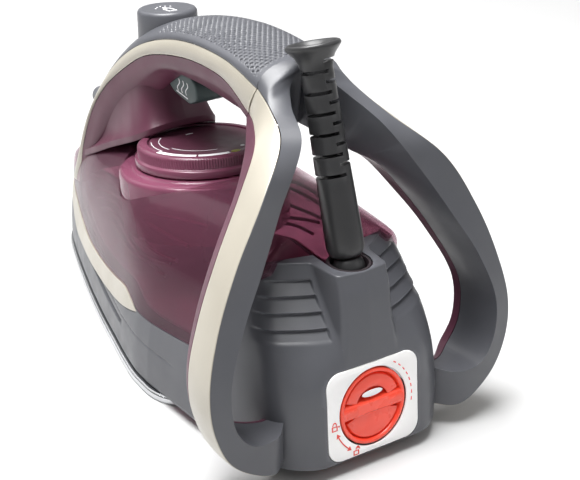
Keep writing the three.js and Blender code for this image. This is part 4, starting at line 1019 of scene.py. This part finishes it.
def dial_ring():
    """Ring with a knurled rim over a plain flange, from points of radius, height and share of knurl."""
    count = KNURLS * 4
    angles = np.linspace(0, 2 * math.pi, count, endpoint=False)
    tooth = 0.22 * (1 + np.cos(np.arange(count) * math.pi / 2))
    top, bore, rim = DIAL_TOP, DISC_R + 0.4, DIAL_RING_R
    profile = [(bore, -8.4, 0), (rim + 0.8, -8.4, 0), (rim + 1.3, -8.0, 0), (rim + 1.4, -5.2, 0),
               (rim + 1.0, -4.7, 0), (rim + 0.2, -4.5, 0), (rim - 0.1, -4.3, 0), (rim - 0.1, -4.1, 1),
               (rim, top - 1.9, 1), (rim - 0.3, top - 1.3, 1), (rim - 0.8, top - 0.9, 0),
               (rim - 1.4, top - 0.5, 0), (rim - 2.1, top - 0.15, 0), (rim - 2.8, top, 0), (26.2, top, 0),
               (bore + 0.2, top - 0.15, 0), (bore, top - 0.5, 0)]
    rows = [np.stack([(r - tooth * k) * np.cos(angles), (r - tooth * k) * np.sin(angles),
                      np.full(count, h)], -1) for r, h, k in profile]
    rows.append(rows[0])
    piece = outwards(weld(new_piece("dial_ring", rows, grid_faces(len(rows), count, closed=True))))
    return add(moved(piece, DIAL_SEAT), "dial", "clear_plum", ["dial_ring"], "dial_plum", sharp=45)


def dial_disc():
    r, top = DISC_R, DIAL_TOP - 0.5
    profile = [(0, -9.2), (6, -9.2), (6, top - 2.3), (r - 0.3, top - 2.3), (r, top - 2), (r, top - 0.4),
               (r - 0.5, top), (r - 1.4, top + 0.1), (18, top), (17.6, top - 0.2), (0, top - 0.2)]
    return add(lathe("dial_disc", profile, 96, DIAL_SEAT), "dial", "plum_plastic", ["dial_disc"])


def oval(reach, angle, half_long, half_wide):
    """Outline of an oval centred on a circle of the dial, its long way along the circle."""
    c, s = math.cos(math.radians(angle)), math.sin(math.radians(angle))
    return [(reach * c + half_wide * math.cos(a) * c - half_long * math.sin(a) * s,
             reach * s + half_wide * math.cos(a) * s + half_long * math.sin(a) * c)
            for a in np.linspace(0, 2 * math.pi, 24, endpoint=False)]


def block(left, right, low, high):
    """Outline of a rectangle, counter-clockwise."""
    return [(left, low), (right, low), (right, high), (left, high)]


def printed(name, body, shapes, tall, bevel, place, look="print_white"):
    """Thin print on a piece, from pairs of a height and the outlines of one shape."""
    marks = [plate("mark", outlines, height, height + tall, bevel, place) for height, outlines in shapes]
    return add(join(name, marks), body, "white_label", look=look)


def dial_marks():
    """Scale printed on the dial: two thick segments, fine lines inside them and a green spot."""
    ring_top, disc_top = DIAL_TOP - 0.02, DIAL_TOP - 0.42
    for name, outlines, height, look in (
            ("dial_scale", [arc_band(*band, 30) for band in SCALE_ON_RING], ring_top, "print_white"),
            ("dial_lines", [arc_band(*band, 30) for band in LINES_ON_DISC], disc_top, "print_white"),
            ("dial_spot", [oval(26.9, -87, 2.5, 1.5)], ring_top, "print_green"),
            ("dial_dot", [oval(22.5, -66, 1.2, 1.0)], disc_top, "print_white")):
        printed(name, "dial", [(height, [outline]) for outline in outlines], 0.14, 0.03, DIAL_SEAT, look)


# ------------------------------------------------------------------ buttons, trigger, nozzle
DROPS = [(0, 6.4), (-2.2, 5.4), (2.2, 5.4), (-4, 3.6), (4, 3.6)]


def spray_button():
    """Hollow cup with a dished top, and a spray bottle with drops printed on it."""
    r = BUTTON_R
    profile = [(0, -4), (r - 1.6, -4), (r - 1.6, -14.2), (r + 0.6, -14.2), (r + 0.5, -8), (r + 0.4, -2.4),
               (r + 0.1, -1.5), (r - 0.5, -0.8), (r - 1.4, -0.45), (r - 2.2, -0.5), (r - 3.5, -0.8),
               (5, -1.2), (0, -1.25)]
    add(lathe("spray_button", profile, 96, BUTTON_SEAT), "spray", "grey_plastic", ["spray_button"])
    bottle = [(-2.2, -6), (2.2, -6), (2.2, 0), (1.2, 1.4), (-1.2, 1.4), (-2.2, 0)]
    inside = [(x * 0.72, -2.4 + (y + 2.4) * 0.82) for x, y in bottle[::-1]]
    shapes = [(-1.2, [ring(0.42, 10, drop)]) for drop in DROPS]
    shapes += [(-1.25, [bottle, inside]), (-1.2, [block(-0.8, 0.8, 1.6, 3.2)])]
    printed("spray_icon", "spray", shapes, 0.25, 0.04, BUTTON_SEAT)


# Outline of the trigger as (y, z), the radius of its corners, and the matrix that stands it upright.
TRIGGER = [(44.6, 134), (22, 134), (16.6, 131), (15.4, 123.4), (21.6, 119.6), (36, 121.6), (44, 126.6)]
TRIGGER_CORNER = 2.4
UPRIGHT = Matrix(((0, 0, 1, 0), (1, 0, 0, 0), (0, 1, 0, 0), (0, 0, 0, 1)))


def smoothed(outline, radius):
    """Closed outline with each corner rounded off."""
    smooth = []
    for k, corner in enumerate(np.array(outline)):
        back, ahead = np.array(outline[k - 1]) - corner, np.array(outline[(k + 1) % len(outline)]) - corner
        enter, leave = (corner + run * min(0.4, radius / np.linalg.norm(run)) for run in (back, ahead))
        smooth += [tuple(lerp(lerp(enter, corner, s), lerp(corner, leave, s), s))
                   for s in np.linspace(0, 1, 5)]
    return smooth


def steam_trigger():
    """Trigger plate on its pin, with a sole and three jets of steam printed on both flanks."""
    outlines = [smoothed(TRIGGER, TRIGGER_CORNER), ring(1.9, 20, TRIGGER_PIVOT[1:])]
    piece = plate("steam_trigger", outlines, -TRIGGER_HALF, TRIGGER_HALF, 1.1, UPRIGHT)
    add(piece, "trigger", "trigger_plastic", ["steam_trigger"])
    icon = []
    for k in range(3):
        y = 24 + 3.6 * k
        wave = [(y + 0.9 * math.sin(s * 2 * math.pi), 123.6 + 6 * s) for s in np.linspace(0, 1, 14)]
        icon.append(wave + [(a + 0.7, b) for a, b in reversed(wave)])
    icon.append([(23.2, 121.9), (33.4, 122.9), (33.4, 123.5), (23.2, 122.5)])
    flanks = (-TRIGGER_HALF - 0.02, TRIGGER_HALF - 0.1)
    printed("trigger_icon", "trigger", [(flank, [shape]) for flank in flanks for shape in icon],
            0.12, 0.02, UPRIGHT)


def spray_nozzle():
    profile = [(0, -6), (5, -6), (5, 2.2), (4.7, 3.4), (3.9, 5.2), (3.2, 5.9), (2.2, 6.1), (1.5, 5.9),
               (1, 4.5), (0, 4.5)]
    piece = lathe("spray_nozzle", profile, 64, aim((0, 122, 90), (0, 12, -5)))
    return add(piece, "base", "grey_plastic", ["spray_nozzle"])


# ------------------------------------------------------------------ heel: label, knob, cord
ARROW_R, ARROW_FROM, ARROW_TO = 20.9, 205, 228
LOCK_R, LOCKS = 21.2, [(191, 0.0), (242, 0.9)]
DASH_R, DASH_SWEEP, DASH_STEP = 20.8, 4.5, 9


def polar(radius, angle):
    return radius * math.cos(angle), radius * math.sin(angle)


def turning_arrow():
    """Outlines of an arc round the knob with an arrowhead at each end."""
    shapes = [arc_band(ARROW_R, 0.55, ARROW_FROM, ARROW_TO, 20)]
    for end, lean in ((ARROW_FROM, -1), (ARROW_TO, 1)):
        a = math.radians(end)
        shapes.append([polar(ARROW_R, a + lean * 0.1)] + [polar(ARROW_R + w, a) for w in (1.2, -1.2)][::lean])
    return shapes


def padlock(angle, opened):
    """Shapes of a small padlock beside the knob, its bow shifted by how far it is open, and its dot."""
    a = math.radians(angle)
    x, y = polar(LOCK_R, a)
    body = block(x - 1.5, x + 1.5, y - 1.3, y + 1.0)
    bore = [(x + 0.62 * (p - x), y - 0.15 + 0.62 * (q - y + 0.15)) for p, q in body[::-1]]
    bow = [(x + opened + r * math.cos(b), y + 1.1 + r * 1.5 * math.sin(b))
           for r, order in ((1.2, 1), (0.8, -1)) for b in np.linspace(0, math.pi, 12)[::order]]
    return [[body, bore], [bow], [ring(0.45, 12, polar(LOCK_R - 2.3, a))]]


def label_plate():
    outline = rounded_box(LABEL_HALF, LABEL_TALL / 2, LABEL_CORNER, 10)
    piece = plate("label_plate", [outline, ring(KNOB_HOLE, 72)], -LABEL_THICK, 0, 0.15, HEEL_SEAT)
    add(piece, "base", "white_label", ["label_plate"])
    shapes = [[outline] for outline in turning_arrow()]
    for angle, opened in LOCKS:
        shapes += padlock(angle, opened)
    shapes += [[arc_band(DASH_R, 0.5, start, start + DASH_SWEEP, 6)]
               for start in np.arange(-10, 62, DASH_STEP)]
    printed("label_print", "base", [(0.0, shape) for shape in shapes], 0.1, 0.02, HEEL_SEAT, "print_red")


def knob_grip(turn, hollow):
    """Raised half-moon on one side of the knob's beam, its inner edge at a share of its reach."""
    outlines = []
    for level in np.linspace(0, 1, 12):
        reach = (KNOB_R - 1.6) * (1 - 0.10 * level ** 2)
        a = np.linspace(0.33, math.pi - 0.33, 30) + turn
        wide = np.stack([reach * np.cos(a), reach * np.sin(a), np.full_like(a, -6.4 + 5.6 * level)], -1)
        outlines.append(np.concatenate([wide, wide[::-1] * (hollow, hollow, 1)]))
    return capped("grip", outlines)


def collector_knob():
    """Round cup with a beam across it and a grip on either side, and an oval mark on the upper grip."""
    r = KNOB_R
    cup = lathe("cup", [(0, -8), (r, -8), (r, -0.9), (r - 0.25, -0.3), (r - 0.9, 0), (r - 1.6, -0.1),
                        (r - 2.1, -0.8), (r - 2.6, -5.2), (r - 3.6, -6), (0, -6)], 96)
    half = [(-4.4, -6.6), (-4.2, -3), (-3.4, -0.8), (-2.5, -0.1)]
    profile = half + [(-y, z) for y, z in reversed(half)]
    along = np.linspace(-(r - 0.7), r - 0.7, 39)
    beam = capped("beam", [[(x, y * (0.86 + 0.14 * abs(x) / r), z) for y, z in profile] for x in along])
    piece = join("collector_knob", [cup, beam, knob_grip(0, 0.62), knob_grip(math.pi, 0.15)])
    soften(moved(piece, HEEL_SEAT), 0.3, 45)
    add(piece, "knob", "red_plastic", ["collector_knob"], sharp=40)
    eye = [(5.4 * math.cos(a), 6.1 + 1.5 * math.sin(a))
           for a in np.linspace(0, 2 * math.pi, 36, endpoint=False)]
    add(plate("knob_mark", [eye], -0.9, -0.55, 0.1, HEEL_SEAT), "knob", "white_label", look="print_white")


def cord_knuckle():
    """Ball that the cord guard swings on, flattened under the guard."""
    r, flat = BALL_R - 0.6, 4.1
    profile = [polar(r, a) for a in np.linspace(-math.pi / 2, math.asin(flat / r), 24)] + [(0, flat)]
    piece = lathe("cord_knuckle", profile, 64, aim(BALL_CENTRE, (0, 0.3, 1)))
    return add(piece, "knuckle", "black_rubber", ["cord_knuckle"])


def cord_guard():
    """Slotted sleeve with a flared end, its slots cut from alternate sides."""
    profile = [(3.4, 5.3), (6.4, 5.3), (7.3, 6.4), (8.1, 9), (8.2, 14), (7.9, 26), (7.6, 40), (7.2, 60),
               (6.9, 78), (6.9, 84.5), (7.4, 87), (8.6, 89.6), (10.6, 92), (11.5, 93), (11.7, 93.7),
               (11.4, 94.6), (10.6, 95), (9.6, 94.2), (7.6, 92), (5.6, 89.6), (4.6, 87.5), (4.2, 84),
               (4.0, 60), (3.4, 40), (3.4, 5.3)]
    fine = []
    for (r0, h0), (r1, h1) in zip(profile, profile[1:]):
        steps = max(1, int(abs(h1 - h0) / 3))
        fine += [(lerp(r0, r1, s), lerp(h0, h1, s)) for s in np.linspace(0, 1, steps, endpoint=False)]
    piece = lathe("cord_guard", fine + [profile[-1]], 72)
    blades = []
    for k in range(GUARD_SLOTS):
        low, side = 39.5 + k * GUARD_PITCH, 1 if k % 2 else -1
        outline = [(side * x, y) for x, y in block(-1.2, 14, -14, 14)]
        blades.append(capped("blade", [[(x, y, z) for x, y in outline] for z in (low, low + 1.5)]))
    cut(piece, *blades)
    soften(piece, 0.22, 50)
    return add(moved(piece, GUARD_SEAT), "guard", "black_rubber", ["cord_guard"], sharp=45)


# ------------------------------------------------------------------ stage, light and camera
FLOOR_HALF, FLOOR_STEPS, FLOOR_Z = 1500, 30, -0.1
AIM_AT = (0, 0.02, 0.08)
# Name, place in metres, power in watts and size of each area light.
LIGHTS = [("key", (-0.2, 0.1, 1.25), 40, 0.8), ("fill", (0.7, -0.9, 0.8), 1.2, 0.8),
          ("rim", (-0.2, 1.1, 0.9), 2, 0.7)]
TURN, RISE, ROLL = (math.radians(angle) for angle in (-36.1, 26.56, 2.32))
CAMERA_AIM, CAMERA_AWAY, CAMERA_LENS = (0.02327, -0.01763, 0.05865), 0.67506, 88.54


def stage():
    reach = np.linspace(-FLOOR_HALF, FLOOR_HALF, FLOOR_STEPS + 1)
    level = np.full((FLOOR_STEPS + 1,) * 2, FLOOR_Z)
    rows = np.stack([*np.meshgrid(reach, reach, indexing="ij"), level], -1)
    floor = new_piece("floor", rows, grid_faces(*rows.shape[:2]))
    n = Nodes("pale_floor")
    n.link(n.mix(n.noise(4, 2), (0.52, 0.52, 0.52, 1), (0.55, 0.55, 0.55, 1)), n.shader.inputs["Base Color"])
    n.shader.inputs["Roughness"].default_value = 0.7
    n.shader.inputs["Specular IOR Level"].default_value = 0.1
    floor.data.materials.append(n.material)
    world = bpy.data.worlds.new("studio")
    world.use_nodes = True
    background = world.node_tree.nodes["Background"]
    background.inputs["Color"].default_value = (1, 1, 1, 1)
    background.inputs["Strength"].default_value = 0.38
    bpy.context.scene.world = world
    bpy.context.scene.view_settings.view_transform = "Standard"
    for name, place, power, size in LIGHTS:
        light = bpy.data.lights.new(name, "AREA")
        light.energy, light.size = power, size
        lamp = shown(name, light)
        lamp.location = place
        lamp.rotation_mode = "QUATERNION"
        lamp.rotation_quaternion = (Vector(AIM_AT) - Vector(place)).to_track_quat("-Z", "Y")


def camera():
    """Camera behind the iron's left shoulder, 27 degrees above the floor."""
    back = Vector((math.sin(TURN) * math.cos(RISE), -math.cos(TURN) * math.cos(RISE), math.sin(RISE)))
    right = Vector((math.cos(TURN), math.sin(TURN), 0))
    up = back.cross(right)
    across = right * math.cos(ROLL) + up * math.sin(ROLL)
    rising = up * math.cos(ROLL) - right * math.sin(ROLL)
    lens = bpy.data.cameras.new("camera")
    lens.sensor_width, lens.lens = 36, CAMERA_LENS
    lens.clip_start, lens.clip_end = 0.05, 20
    eye = shown("camera", lens)
    place = Vector(CAMERA_AIM) + back * CAMERA_AWAY
    eye.matrix_world = Matrix((*zip(across, rising, back, place), (0, 0, 0, 1)))
    bpy.context.scene.camera = eye


# ------------------------------------------------------------------ assembly
for build in (soleplate, skirt, water_tank, tank_ribs, tank_floor, dial_seat, rear_cover, cord_socket,
              grip_cover, fill_door, handle_shell, rear_shell, dial_ring, dial_disc, dial_marks, spray_button,
              steam_trigger, spray_nozzle, label_plate, collector_knob, cord_knuckle, cord_guard):
    build()
for side in (1, -1):
    for build in (skirt_trim, handle_trim, leg_trim, leg_liner):
        build(side)
cad_looks()
stage()
camera()
